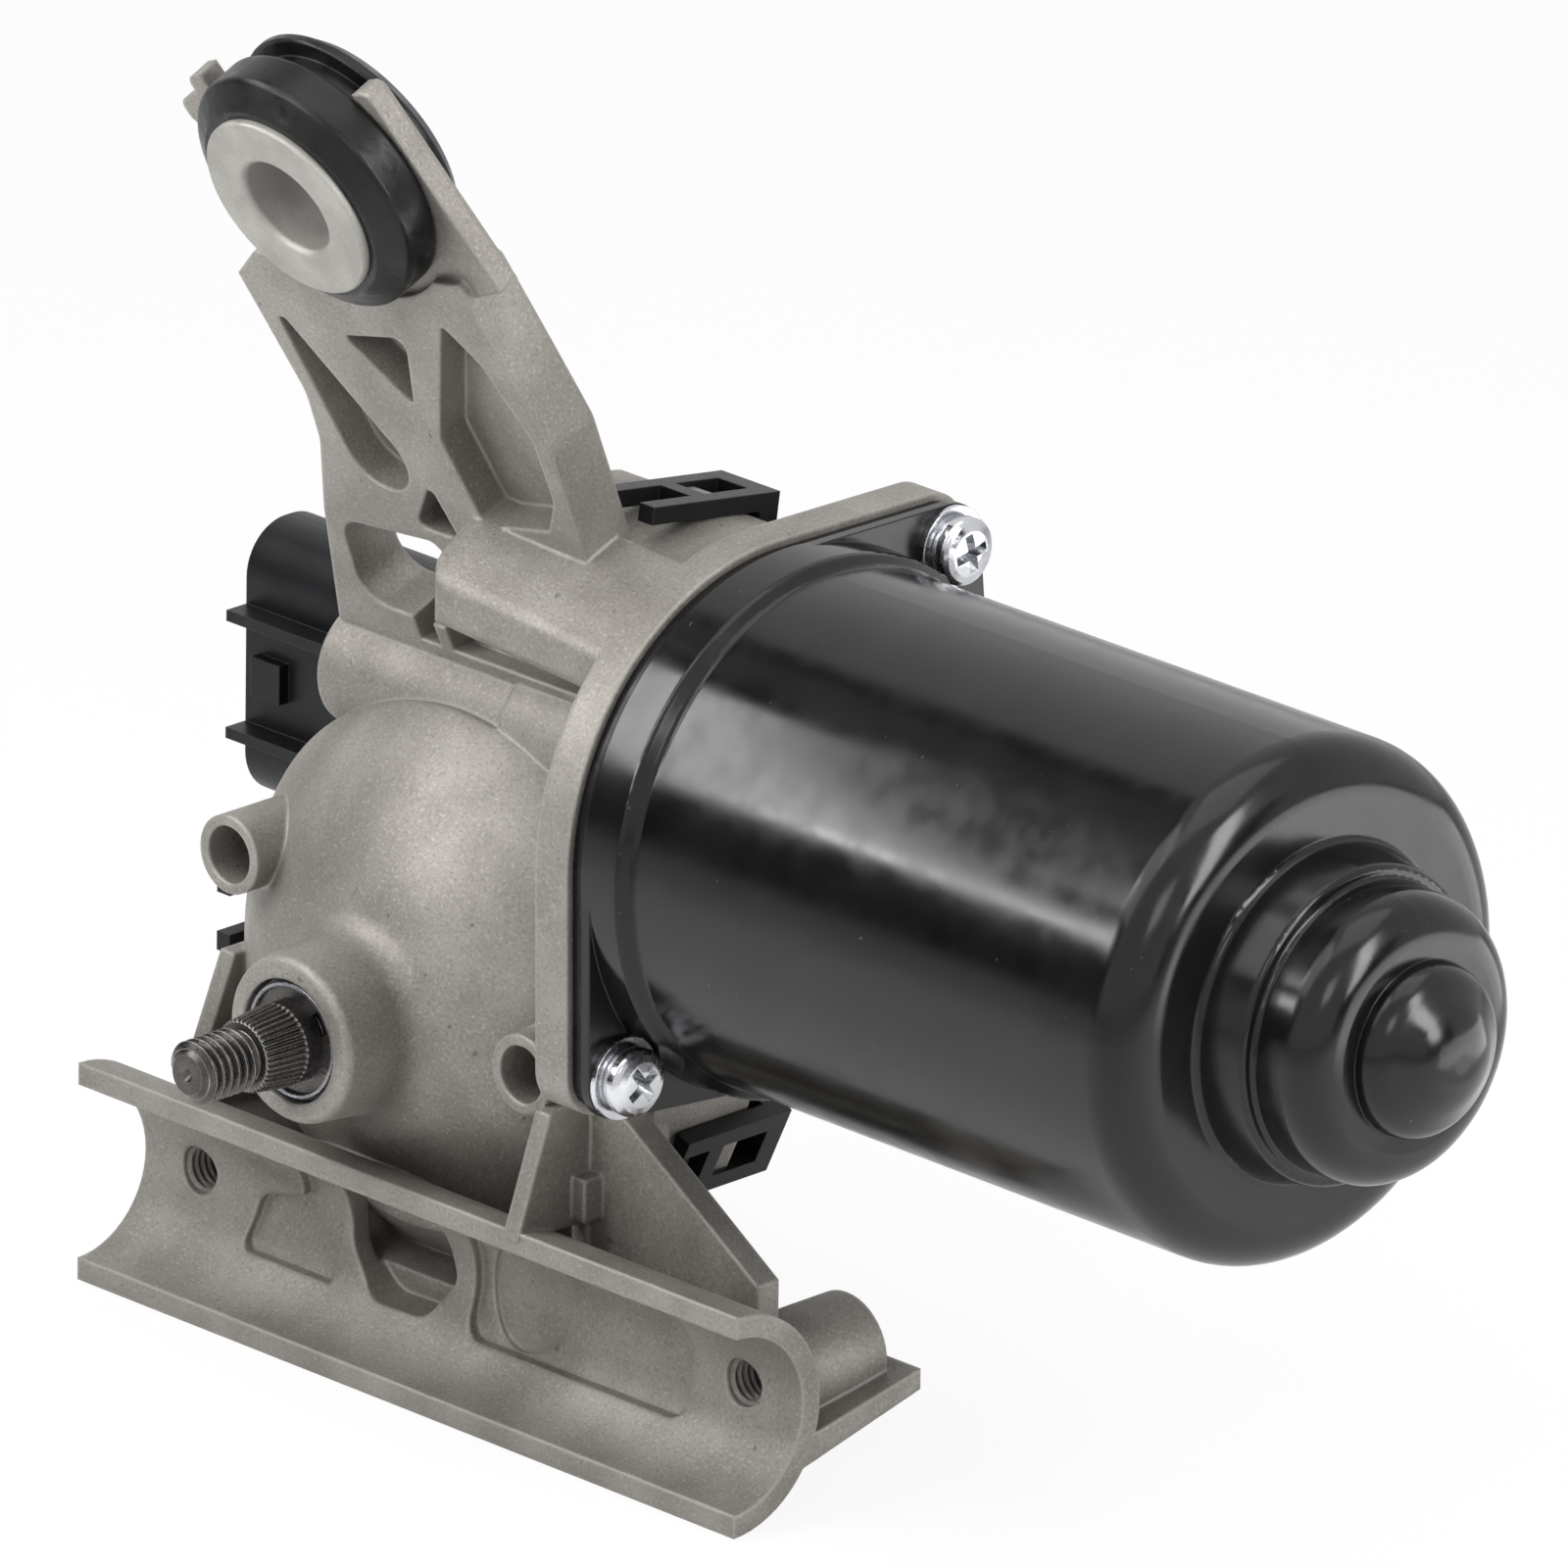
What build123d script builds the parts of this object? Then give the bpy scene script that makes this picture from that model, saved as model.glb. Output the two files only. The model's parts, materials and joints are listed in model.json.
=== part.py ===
from build123d import *
import os
from math import atan, cos, degrees, pi, radians, sin, sqrt, tan

# Wiper motor with its gear housing, arm and tube saddle. Millimetres, Z up.
# Each piece is built about the motor axis, which runs along X through Y = 0, Z = 0, with
# X = 0 on the joint face between the gear housing and the motor can. The output shaft
# points along -Y. The last step moves every piece so that the origin is the middle of
# the axis of the tube that the saddle clamps.

# Clearances between pieces
running_gap = 0.15
seat_gap = 0.05

# Reach of a cutter that passes the whole part
far = 60.0

# Motor can, deep drawn from sheet
can_radius = 31.9
can_wall = 1.8
can_end_x = 89.5
can_end_round = 6.0
can_step_radius = 33.3
can_step_length = 4.6
can_flange_thickness = 1.4
can_boss_radius = 17.6
can_boss_length = 16.0
can_boss_round = 5.0
can_foot_radius = 19.2
can_foot_length = 6.5
dome_radius = 10.6
dome_crown_height = 4.4
dome_crown_radius = 4.0
dome_side_round = 4.0
dome_crown_round = 9.0
dome_tip_x = 112.5
can_step_slope = 1.4
can_step_rounds = (0.9, 1.2)
can_foot_slope = 1.2
can_foot_rounds = (1.0, 0.8, 0.6)
can_boss_inner_round = 3.0

# Joint between can and housing
flange_radius = 33.6
flange_ear_radius = 5.6
flange_screw_far = 27.6
flange_screw_near = 25.4
flange_thickness = 5.2
flange_inset = 0.4
can_gasket_thickness = 2.0
can_gasket_inset = 1.0
screw_radius = 2.4
screw_head_radius = 4.5
screw_head_height = 2.7
screw_crown_round = 1.6
screw_length = 9.0
washer_radius = 5.1
washer_thickness = 0.8
washer_pocket_gap = 0.3

# Worm drive: module 1, one start, right hand
gear_module = 1.0
wheel_teeth = 56
worm_pitch_radius = 4.5
worm_turns_each_side = 5
tooth_backlash = 0.35
pressure_angle = 20.0
wheel_width = 8.0
wheel_centre_x = -44.5
wheel_rim_wall = 3.0
wheel_web_front_y = 0.5
wheel_hub_radius = 8.6
wheel_hub_front = 2.9
wheel_hub_back = 1.0
wheel_rib_count = 6
wheel_rib_thickness = 1.8

# Gear chamber of the housing
chamber_gap = 2.0
chamber_wall = 3.8
chamber_front_gap = 2.2
chamber_cone_radius = 20.0
chamber_cone_depth = 7.0
hub_seat_radius = 9.5
hub_seat_depth = 2.0
chamber_front_y = -8.5
chamber_back_y = 8.0
chamber_rim_width = 1.6
chamber_rim_thickness = 3.0
rim_inset = 0.4
dome_bulge_share = 0.775
dome_bulge_place = 0.51
dome_collar_radius = 11.3
dome_collar_y = -25.0
dome_collar_blend = 4.0
output_ring_round = 1.2
output_ring_radius = 10.2
output_ring_y = -35.6

# Worm tube
tube_radius = 7.8
tube_end_x = -69.0
tube_wall = 1.6
tube_thick_radius = 8.3
tube_thick_from_x = -38.0
tube_end_wall = 2.4
bridge_left_x = -16.0
bridge_front_y = -15.0
bridge_low_z = -30.0
hub_shaft_gap = 1.2

# Output shaft and its bearings
shaft_radius = 5.0
shaft_back_y = 6.2
shaft_knurl_y = -36.9
shaft_thread_y = -43.0
shaft_tip_y = -52.0
knurl_end_radius = 4.5
thread_radius = 3.95
bush_wall = 1.4
bush_length = 8.0
retaining_ring_radius = 7.4
retaining_ring_thickness = 1.0
ring_recess_depth = 2.2
ring_recess_gap = 0.3
ring_inset = 0.9
ring_groove_depth = 0.7
ring_grip = 0.1
ring_opening = 3.0
ring_opening_angle = 35.0
knurl_height = 0.2
knurl_chamfer = 0.3
thread_chamfer = 0.6
thread_end_round = 0.9
bush_running_gap = 0.03
bush_back_gap = 4.2
thrust_washer_thickness = 1.2
thrust_washer_radius = 9.0
shim_thickness = 0.26
seal_front_y = -22.0
seal_back_y = -19.6

# Front screw bosses, as (X, Z) of their axes
front_boss_places = ((-67.0, -18.2), (-17.0, -31.9))
front_boss_radius = 4.9
front_boss_bore = 3.6
front_boss_face_y = -24.0
front_boss_depth = 9.0

# Upper passage between the can and the rear cover
passage_left_x = -34.0
passage_front_y = -24.0
passage_radius = 35.4
passage_taper = 1.8
passage_side_height = 6.4
passage_step = 3.0
passage_step_y = -10.5
passage_round = 2.8
passage_wall = 1.8
passage_duct_height = 2.8
duct_left_wall = 2.5
duct_front_wall = 8.0
duct_mouth_front_y = -14.0
duct_mouth_back_y = 4.0

# Arm that carries the rubber mount; it leans forward as it rises
arm_lean = 24.5
arm_foot_y = -1.9
arm_thickness = 7.4
arm_pocket_depth = 4.6
arm_foot_z = 4.0
arm_gap_left_x = -53.5
arm_gap_back_y = -2.0
arm_post_x = -49.0
arm_post_width = 2.0
mount_centre_x = -37.7
mount_centre_t = 85.7
fork_lean = 23.5
fork_wall = 3.0
fork_root = 20.0
fork_tip_round = 1.4
fork_nub_reach = 4.5
fork_nub_low = 8.5
fork_nub_high = 13.0
fork_nub_slope = 1.0
fork_nub_round = 1.5
mount_clearance = 1.4

# Outlines in the arm's front face, as corners (X, distance up the arm, rounding)
arm_corners = ((-68.0, 0.0), (-68.0, 8.0), (-62.8, 26.5, 6), (-58.4, 38.5, 6), (-57.6, 46.0, 8),
               (-61.9, 63.0), (-57.5, 67.5), (-20.0, 74.2, 0.8), (-17.0, 62.5, 5),
               (-14.2, 51.0, 5), (-15.0, 40.0), (-18.0, 0.0))
arm_window_corners = ((-62.0, 12.5, 4), (-60.5, 25.5, 4), (-43.0, 27.5, 2), (-41.0, 12.5, 2))
arm_upper_pocket = ((-46.4, 58.4, 0.8), (-34.2, 61.8, 1.5), (-37.5, 50.0, 0.8))
arm_side_pocket = ((-26.4, 66.5, 0.8), (-21.6, 62.0, 1.5), (-17.0, 51.5, 3), (-17.4, 42.0, 3),
                   (-20.5, 36.6, 1.5), (-32.6, 33.6, 1.5), (-35.0, 45.9, 2))
arm_lower_pocket = ((-40.4, 37.4, 0.8), (-46.0, 29.2, 1.0), (-38.3, 29.2, 1.0))
arm_drop_ends = ((-48.7, 39.1, 5.2), (-56.6, 57.0, 0.9))

# Rubber mount and its metal sleeve; heights are in front of the arm's front face
fork_front_depth = 1.2
fork_thickness = 3.0
groove_radius = 14.0
fork_right_reach = 9.0
fork_left_reach = 15.0
rubber_front_radius = 16.5
rubber_front_height = 6.0
rubber_front_chamfer = 2.2
rubber_back_radius = 16.2
rubber_back_length = 2.8
rubber_back_chamfer = 1.6
sleeve_flange_radius = 12.3
sleeve_flange_thickness = 1.0
sleeve_radius = 8.2
sleeve_bore = 6.4
sleeve_proud = 0.6
sleeve_rounds = (1.0, 0.4)
rubber_rounds = (0.6, 1.0, 0.6, 0.4, 0.5)
rubber_lip = 0.9
rubber_tail = 1.8

# Saddle that takes the tube of the wiper frame
tube_clamp_radius = 11.1
saddle_wall = 2.8
saddle_left_x = -86.4
saddle_right_x = 25.6
saddle_y = -30.0
saddle_z = -62.5
saddle_screw_left_x = -76.9
saddle_screw_right_x = 15.8
saddle_screw_radius = 3.0
saddle_boss_radius = 6.8
saddle_boss_back_y = -2.0
saddle_screw_depth = 15.0
web_front_y = -18.5
web_back_y = 6.5
web_left_x = -79.3
web_right_x = -22.0
web_top_left_x = -74.0
web_top_z = -33.5
web_shoulder_z = -48.0
web_middle_x = -60.0
web_middle_z = -25.0
web_foot_sink = 5.0
rib_x = -13.2
rib_back_y = -5.5
rib_top_z = -33.0
rib_front_corners = ((-30.4, -49.5), (-25.2, -35.0), (-14.0, -33.0))
rib_foot_y = -19.0
rib_foot_z = -50.0
gusset_foot_sink = 2.0
gusset_corners = ((17.4, -60.5), (17.4, -50.2), (4.3, -41.7), (-6.1, -35.0))
rim_bead_height = 0.9
rim_bead_length = 2.0
rim_bead_top_z = -54.0
web_thickness = 3.5
rib_thickness = 2.4
shelf_low_z = -70.8
shelf_high_z = -67.2
shelf_front_y = -19.5
shelf_back_y = 0.6
shelf_back_rise = 4.0
shelf_left_inset = 7.0
floor_front_y = -0.4
floor_thickness = 3.0
hook_left_x = -13.4
hook_right_x = -8.6
hook_low_z = -49.0
hook_high_z = -43.6
hook_reach = 3.0
saddle_boss_sink = 6.1
saddle_pocket_depth = 1.3
saddle_mark_depth = 1.9
saddle_mark_radius = 6.8
saddle_mark_x = -20.8
wheel_room_side_y = -6.0
wheel_room_radius = 21.0
wheel_room_front_y = -14.0

# Outlines in the saddle's bed, as corners (X, Z, rounding)
saddle_left_pocket = ((-67.8, -69.4, 1.5), (-52.0, -69.4), (-52.0, -52.0), (-58.5, -52.0),
                      (-58.5, -60.6, 1.5), (-66.4, -62.4, 3))
saddle_right_pocket = ((-29.5, -69.4, 3), (7.5, -69.4, 2), (7.5, -58.0, 8), (3.0, -52.0),
                       (-29.5, -52.0))
saddle_window_corners = ((-51.0, -53.0, 1), (-34.0, -57.0, 1), (-32.4, -64.0, 2.5),
                         (-36.0, -69.2, 3), (-45.0, -69.4, 4), (-50.4, -64.5, 4))

# Rear cover with its connector
cover_radius = 33.6
cover_wall = 2.0
cover_depth = 6.5
cover_round = 4.5
cover_gasket_thickness = 1.0
cover_gasket_margin = 1.2
cover_upper_low_z = -10.0
cover_upper_left_x = -42.0
cover_upper_right_x = -7.0
cover_upper_top_z = 28.0
cover_upper_thickness = 3.2
cover_step_z = 20.0
cover_upper_left_round = 5.0
cover_upper_right_round = 2.0
connector_left_x = -102.0
connector_low_z = -30.0
connector_high_z = 5.0
connector_front_y = 12.0
connector_depth = 14.0
connector_rails_z = (-5.5, -20.5)
connector_wall = 2.0
connector_floor_x = -79.0
connector_rail_height = 3.3
connector_rail_thickness = 1.4
connector_lug_width = 5.0
connector_lug_height = 1.6
connector_lug_inset = 2.5
connector_sink = 0.8
connector_flat = 0.6
connector_root_x = -60.5
terminal_count = 5
terminal_length = 13.0
terminal_width = 2.2
terminal_thickness = 0.8
terminal_tail = 6.0
terminal_press = 0.02

# Parking switch: spring fingers on the cover, copper disc on the wheel
contact_thickness = 0.8
contact_width = 1.8
contact_height = 11.0
contact_first_x = 12.6
contact_step = 3.6
contact_gap = 0.2
contact_count = 3
contact_low = 2.0
contact_tip_low = 0.6
contact_tip_high = 1.4
park_notch_inner = 15.5
park_notch_outer = 21.5
park_notch_width = 10.0
park_notch_angle = 60.0
contact_disc_thickness = 0.6
contact_disc_inner = 11.5
contact_disc_outer = 24.0

# Snap clips of the cover, each an I of two bars and a stem, and the lugs they catch
clip_half_width = 4.9
clip_bar_width = 2.4
clip_thickness = 2.2
clip_stem_y = 0.4
clip_root_length = 3.0
clip_root_sink = 5.0
clip_lug_height = 1.5
clip_lug_half_width = 2.6
clip_lug_sink = 2.0
clip_play = 0.2
side_clips = ((-25.0, -4.0), (180.0, -12.0))
clip_root_gap = 1.0
top_clip_x = -17.5
top_clip_front_y = -8.0
top_clip_rise = 0.45
top_clip_tilt = 8.2

# Armature
motor_shaft_radius = 4.0
bearing_radius = 11.0
bearing_width = 7.0
bearing_race = 1.9
bearing_ball_count = 8
bearing_proud = 2.4
hub_wall = 2.5
core_radius = 23.4
core_start_x = 28.0
core_length = 42.0
core_slots = 10
slot_depth = 6.2
slot_radius = 3.8
slot_mouth = 2.0
wire_gap = 0.3
coil_inset = 2.5
coil_round = 2.4
winding_overhang = 8.0
commutator_radius = 11.0
commutator_start_x = 8.0
commutator_length = 10.0
commutator_bars = 20
commutator_slot_depth = 0.9
commutator_slot_width = 0.6
commutator_hook_height = 1.3
commutator_hook_length = 1.6
magnet_air_gap = 0.65
magnet_start_x = 23.0
magnet_length = 52.0
magnet_arc = 128.0
magnet_spring_thickness = 1.2
magnet_spring_inset = 3.0
rear_ball_radius = 10.4
rear_ball_half_length = 5.5
retainer_thickness = 0.8
retainer_slots = 6
retainer_slot_width = 2.4
retainer_slot_depth = 4.0
thrust_plug_radius = 3.5
thrust_plug_length = 5.4
thrust_plug_gap = 0.6
thrust_pad_radius = 2.6
thrust_pad_thickness = 2.0
worm_bush_length = 4.2
worm_runout = 2.0
worm_trim = 0.8
rear_journal_drop = 1.0

# Brush gear
card_start_x = 4.6
card_thickness = 2.0
card_radius = 28.6
card_hole_radius = 14.6
brush_width = 6.0
brush_thickness = 5.0
brush_length = 7.0
brush_angles = (20.0, 140.0, 260.0)
holder_wall = 0.8
holder_length = 13.0
holder_gap = 1.6
spring_outer = 1.9
spring_inner = 1.3
card_foot_radius = 2.0
card_foot_inset = 4.0
choke_inset = 6.0
choke_radius = 2.6
choke_length = 11.0

# Sizes that follow from the ones above
passage_bottom_z = sqrt(passage_radius ** 2 - passage_front_y ** 2) - passage_side_height
passage_back_radius = passage_radius - passage_step
top_clip_z = passage_back_radius + top_clip_rise
wheel_pitch_radius = gear_module * wheel_teeth / 2
wheel_tip_radius = wheel_pitch_radius + gear_module
wheel_root_radius = wheel_pitch_radius - 1.2 * gear_module
worm_tip_radius = worm_pitch_radius + gear_module
worm_root_radius = worm_pitch_radius - 1.25 * gear_module
worm_pitch = pi * gear_module
worm_half_length = worm_turns_each_side * worm_pitch
wheel_centre_z = -(wheel_pitch_radius + worm_pitch_radius)
lead_angle = degrees(atan(gear_module / (2 * worm_pitch_radius)))
chamber_inner = wheel_tip_radius + chamber_gap
chamber_radius = chamber_inner + chamber_wall
tube_bore = tube_radius - tube_wall
bush_radius = shaft_radius + bush_wall
can_inner = can_radius - can_wall
can_mouth_x = can_gasket_thickness
magnet_inner = core_radius + magnet_air_gap
core_end_x = core_start_x + core_length
can_base_x = can_mouth_x + can_flange_thickness
saddle_outer = tube_clamp_radius + saddle_wall
saddle_middle_x = (saddle_left_x + saddle_right_x) / 2
cover_seat_y = chamber_back_y + cover_gasket_thickness
cover_back_y = cover_seat_y + cover_depth
connector_back_y = connector_front_y + connector_depth
bearing_start_x = bearing_proud - bearing_width
hub_radius = bearing_radius + hub_wall
can_boss_end_x = can_end_x + can_boss_length
dome_inner = dome_radius - can_wall
rear_seat_x = can_boss_end_x - can_wall
rear_shaft_end_x = dome_tip_x - can_wall - thrust_plug_gap - thrust_plug_length
rear_ball_drop = sqrt(rear_ball_radius ** 2 - dome_inner ** 2)
thrust_pad_x = tube_end_x + tube_end_wall
worm_bush_x = thrust_pad_x + hub_shaft_gap
ring_y = output_ring_y + ring_inset
screw_places = ((-flange_screw_far, -flange_screw_near), (flange_screw_near, flange_screw_far))


def facing_x(x):
    """Drawing plane across the motor axis: its x is Y and its y is Z."""
    return Plane(origin=(x, 0, 0), x_dir=(0, 1, 0), z_dir=(1, 0, 0))


def facing_front(y):
    """Drawing plane across the output shaft: its x is X and its y is Z."""
    return Plane(origin=(0, y, 0), x_dir=(1, 0, 0), z_dir=(0, -1, 0))


def rod_x(start, end, radius, y=0.0, z=0.0):
    """Cylinder along X from start to end."""
    return extrude(facing_x(start) * Pos(y, z) * Circle(radius), end - start)


def rod_y(front, back, radius, x, z):
    """Cylinder along Y from its front end to its back end."""
    return extrude(facing_front(back) * Pos(x, z) * Circle(radius), back - front)


def block(x0, x1, y0, y1, z0, z1):
    """Box between two corners."""
    middle = Pos((x0 + x1) / 2, (y0 + y1) / 2, (z0 + z1) / 2)
    return middle * Box(x1 - x0, y1 - y0, z1 - z0)


def outline(*corners):
    """Flat face whose corners are (x, y) or (x, y, rounding radius)."""
    face = make_face(Polyline(*[(c[0], c[1]) for c in corners], close=True))
    for c in corners:
        if len(c) == 3:
            corner = face.vertices().sort_by_distance((c[0], c[1], 0))[0]
            face = fillet(corner, c[2])
    return face


def spin_x(*corners):
    """Solid of revolution about the motor axis from (X, radius) corners."""
    return revolve(facing_front(0) * outline(*corners), Axis.X)


def spin_output(*corners):
    """Solid of revolution about the output shaft from (radius, Y) corners."""
    axis_plane = Plane(origin=(wheel_centre_x, 0, wheel_centre_z), x_dir=(1, 0, 0), z_dir=(0, 0, 1))
    shaft_axis = Axis((wheel_centre_x, 0, wheel_centre_z), (0, 1, 0))
    return revolve(axis_plane * outline(*corners), shaft_axis)


# Motor can
def flange_outline(grow=0.0):
    """Round flange with two screw ears, drawn as the hull of three circles."""
    rings = [Circle(flange_radius + grow).edge()]
    for y, z in screw_places:
        rings.append((Pos(y, z) * Circle(flange_ear_radius + grow)).edge())
    return make_hull(rings)


def screw_holes(start, end, radius):
    """Both flange screw holes as one cutter."""
    return [rod_x(start, end, radius, y, z) for y, z in screw_places]


def can_dome(start_x, inset=0.0):
    """Low dome on the can's boss: a short drum under a rounded crown."""
    radius = dome_radius - inset
    tip_x = dome_tip_x - inset
    return spin_x((start_x, 0), (start_x, radius),
                  (tip_x - dome_crown_height, radius, dome_side_round - inset),
                  (tip_x, dome_crown_radius - inset / 2, dome_crown_round - inset), (tip_x, 0))


def motor_can():
    """Drawn steel can with stepped base, closed end, bearing boss and end dome."""
    boss_end_x = can_boss_end_x
    step_end_x = can_base_x + can_step_length
    body = spin_x((can_mouth_x, 0), (can_mouth_x, can_step_radius),
                  (step_end_x, can_step_radius, can_step_rounds[0]),
                  (step_end_x + can_step_slope, can_radius, can_step_rounds[1]),
                  (can_end_x, can_radius, can_end_round),
                  (can_end_x, can_foot_radius + can_foot_slope, can_foot_rounds[0]),
                  (can_end_x + can_foot_length, can_foot_radius, can_foot_rounds[1]),
                  (can_end_x + can_foot_length, can_boss_radius, can_foot_rounds[2]),
                  (boss_end_x, can_boss_radius, can_boss_round), (boss_end_x, 0))
    body += can_dome(boss_end_x - 1)
    body += extrude(facing_x(can_mouth_x) * flange_outline(-flange_inset), can_flange_thickness)
    inner_boss = can_boss_radius - can_wall
    hollow = spin_x((can_mouth_x, 0), (can_mouth_x, can_inner),
                    (can_end_x - can_wall, can_inner, can_end_round - can_wall),
                    (can_end_x - can_wall, inner_boss), (boss_end_x - can_wall, inner_boss, can_boss_inner_round),
                    (boss_end_x - can_wall, 0))
    hollow += can_dome(can_end_x, can_wall)
    body -= hollow
    body -= screw_holes(0, can_base_x + 1, screw_radius + running_gap)
    body -= screw_holes(can_base_x, step_end_x + 2, washer_radius + washer_pocket_gap)
    return body


def can_gasket():
    """Rubber seal between the can flange and the housing flange."""
    seal = extrude(facing_x(0) * flange_outline(-can_gasket_inset), can_gasket_thickness)
    seal -= rod_x(-1, can_gasket_thickness + 1, can_inner)
    return seal - screw_holes(-1, can_gasket_thickness + 1, screw_radius + running_gap)


def can_screws():
    """Two pan head screws that hold the can, each with a plain shank."""
    head_x = can_base_x + washer_thickness
    screws = []
    for y, z in screw_places:
        shank = rod_x(head_x - screw_length, head_x, screw_radius, y, z)
        head = rod_x(head_x, head_x + screw_head_height, screw_head_radius, y, z)
        crown = head.edges().group_by(Axis.X)[-1]
        screws.append(shank + fillet(crown, screw_crown_round))
    return screws


def screw_washers():
    """Captive washer under each screw head."""
    washers = []
    for y, z in screw_places:
        disc = rod_x(can_base_x, can_base_x + washer_thickness, washer_radius, y, z)
        washers.append(disc - rod_x(0, can_base_x + 2, screw_radius + seat_gap, y, z))
    return washers


# Gear housing, one aluminium casting
def arm_plane(depth=0.0):
    """Drawing plane of the arm's front face: its x is X and its y runs up the arm."""
    lean = radians(arm_lean)
    normal = Vector(0, -cos(lean), -sin(lean))
    return Plane(origin=Vector(0, arm_foot_y, 0) - normal * depth, x_dir=(1, 0, 0), z_dir=normal)


def fork_place():
    """Place of the rubber mount in the arm's plane, turned with the fork."""
    return Pos(mount_centre_x, mount_centre_t) * Rot(0, 0, fork_lean)


def arm_pockets():
    """Blind lightening pockets in the arm's front face, drawn in its plane."""
    drop = make_hull([(Pos(x, up) * Circle(radius)).edge() for x, up, radius in arm_drop_ends])
    return [drop, outline(*arm_upper_pocket), outline(*arm_side_pocket), outline(*arm_lower_pocket)]


def fork_slot():
    """Open slot of the fork, in the mount's own place."""
    radius = groove_radius
    return Circle(radius) + outline((-radius, 0), (radius, 0), (radius, far), (-radius, far))


def fork_face():
    """Outline of the fork's two prongs, one longer, with the small nub on the longer one."""
    outer = groove_radius + fork_wall
    prongs = outline((-outer, -fork_root), (outer, -fork_root), (outer, fork_right_reach, fork_tip_round),
                     (0, fork_right_reach), (0, fork_left_reach), (-outer, fork_left_reach, fork_tip_round))
    tip = -outer - fork_nub_reach
    root = 1 - outer
    nub = outline((tip, fork_nub_low, fork_nub_round), (root, fork_nub_low), (root, fork_nub_high),
                  (tip, fork_nub_high - fork_nub_slope, fork_nub_round))
    return prongs + nub


def arm():
    """Leaning arm with lightening pockets, base window and fork for the rubber mount."""
    face = outline(*arm_corners)
    face -= Pos(mount_centre_x, mount_centre_t) * Circle(rubber_front_radius + mount_clearance)
    solid = extrude(arm_plane() * face, -arm_thickness)
    place = fork_place()
    slot = fork_slot()
    solid += extrude(arm_plane(fork_front_depth) * (place * (fork_face() - slot)), -fork_thickness)
    solid -= extrude(arm_plane(fork_front_depth) * (place * slot), -arm_thickness)
    for pocket in arm_pockets():
        solid -= extrude(arm_plane() * pocket, -arm_pocket_depth)
    window = outline(*arm_window_corners)
    solid -= extrude(arm_plane(-1) * window, -arm_thickness - 2)
    gap_low = tube_thick_radius
    half = arm_post_width / 2
    for left, right in ((arm_gap_left_x, arm_post_x - half), (arm_post_x + half, 0)):
        solid -= block(left, right, -far, arm_gap_back_y, gap_low, passage_bottom_z)
    return solid


def chamber_shell():
    """Outside of the gear chamber: drum, domed front and the boss of the output shaft."""
    side = (chamber_radius, chamber_front_y)
    shoulder = (dome_collar_radius, dome_collar_y)
    middle = (chamber_radius * dome_bulge_share,
              chamber_front_y + (dome_collar_y - chamber_front_y) * dome_bulge_place)
    ring = (output_ring_radius, output_ring_y)
    with BuildLine() as profile:
        Polyline((0, chamber_back_y), (chamber_radius, chamber_back_y), side)
        ThreePointArc(side, middle, shoulder)
        Polyline(shoulder, ring, (0, output_ring_y), (0, chamber_back_y))
    plane = Plane(origin=(wheel_centre_x, 0, wheel_centre_z), x_dir=(1, 0, 0), z_dir=(0, 0, 1))
    face = make_face(profile.line)
    for corner, size in ((shoulder, dome_collar_blend), (ring, output_ring_round)):
        face = fillet(face.vertices().sort_by_distance((corner[0], corner[1], 0))[0], size)
    shaft_axis = Axis((wheel_centre_x, 0, wheel_centre_z), (0, 1, 0))
    return revolve(plane * face, shaft_axis)


def chamber_hollow():
    """Room for the wheel, open at the back, with the shaft's bore and its front recess."""
    floor_y = -wheel_width / 2 - chamber_front_gap
    cone_y = floor_y - chamber_cone_depth
    seat_y = floor_y - hub_seat_depth
    hollow = spin_output((0, chamber_back_y + 1), (chamber_inner, chamber_back_y + 1),
                         (chamber_inner, floor_y), (chamber_cone_radius, cone_y),
                         (hub_seat_radius, cone_y), (hub_seat_radius, seat_y), (0, seat_y))
    bore = rod_y(output_ring_y - 1, 0, bush_radius, wheel_centre_x, wheel_centre_z)
    recess = rod_y(output_ring_y - 1, output_ring_y + ring_recess_depth,
                   retaining_ring_radius + ring_recess_gap, wheel_centre_x, wheel_centre_z)
    return [hollow, bore, recess]


def cover_outline(grow=0.0):
    """Outline of the rear cover's seat: round over the wheel, square over the passage."""
    disc = Pos(wheel_centre_x, wheel_centre_z) * Circle(cover_radius + grow)
    upper = outline((cover_upper_left_x - grow, cover_upper_low_z), (cover_upper_right_x + grow, cover_upper_low_z),
                    (cover_upper_right_x + grow, cover_upper_top_z + grow, cover_upper_right_round),
                    (cover_upper_left_x - grow, cover_upper_top_z + grow, cover_upper_left_round))
    return disc + upper


def seat_rim():
    """Frame round the open back of the housing, on which the rear cover seats."""
    rim = cover_outline(-rim_inset) - cover_outline(-rim_inset - 2 * chamber_rim_width)
    return extrude(facing_front(chamber_back_y) * rim, chamber_rim_thickness)


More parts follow.
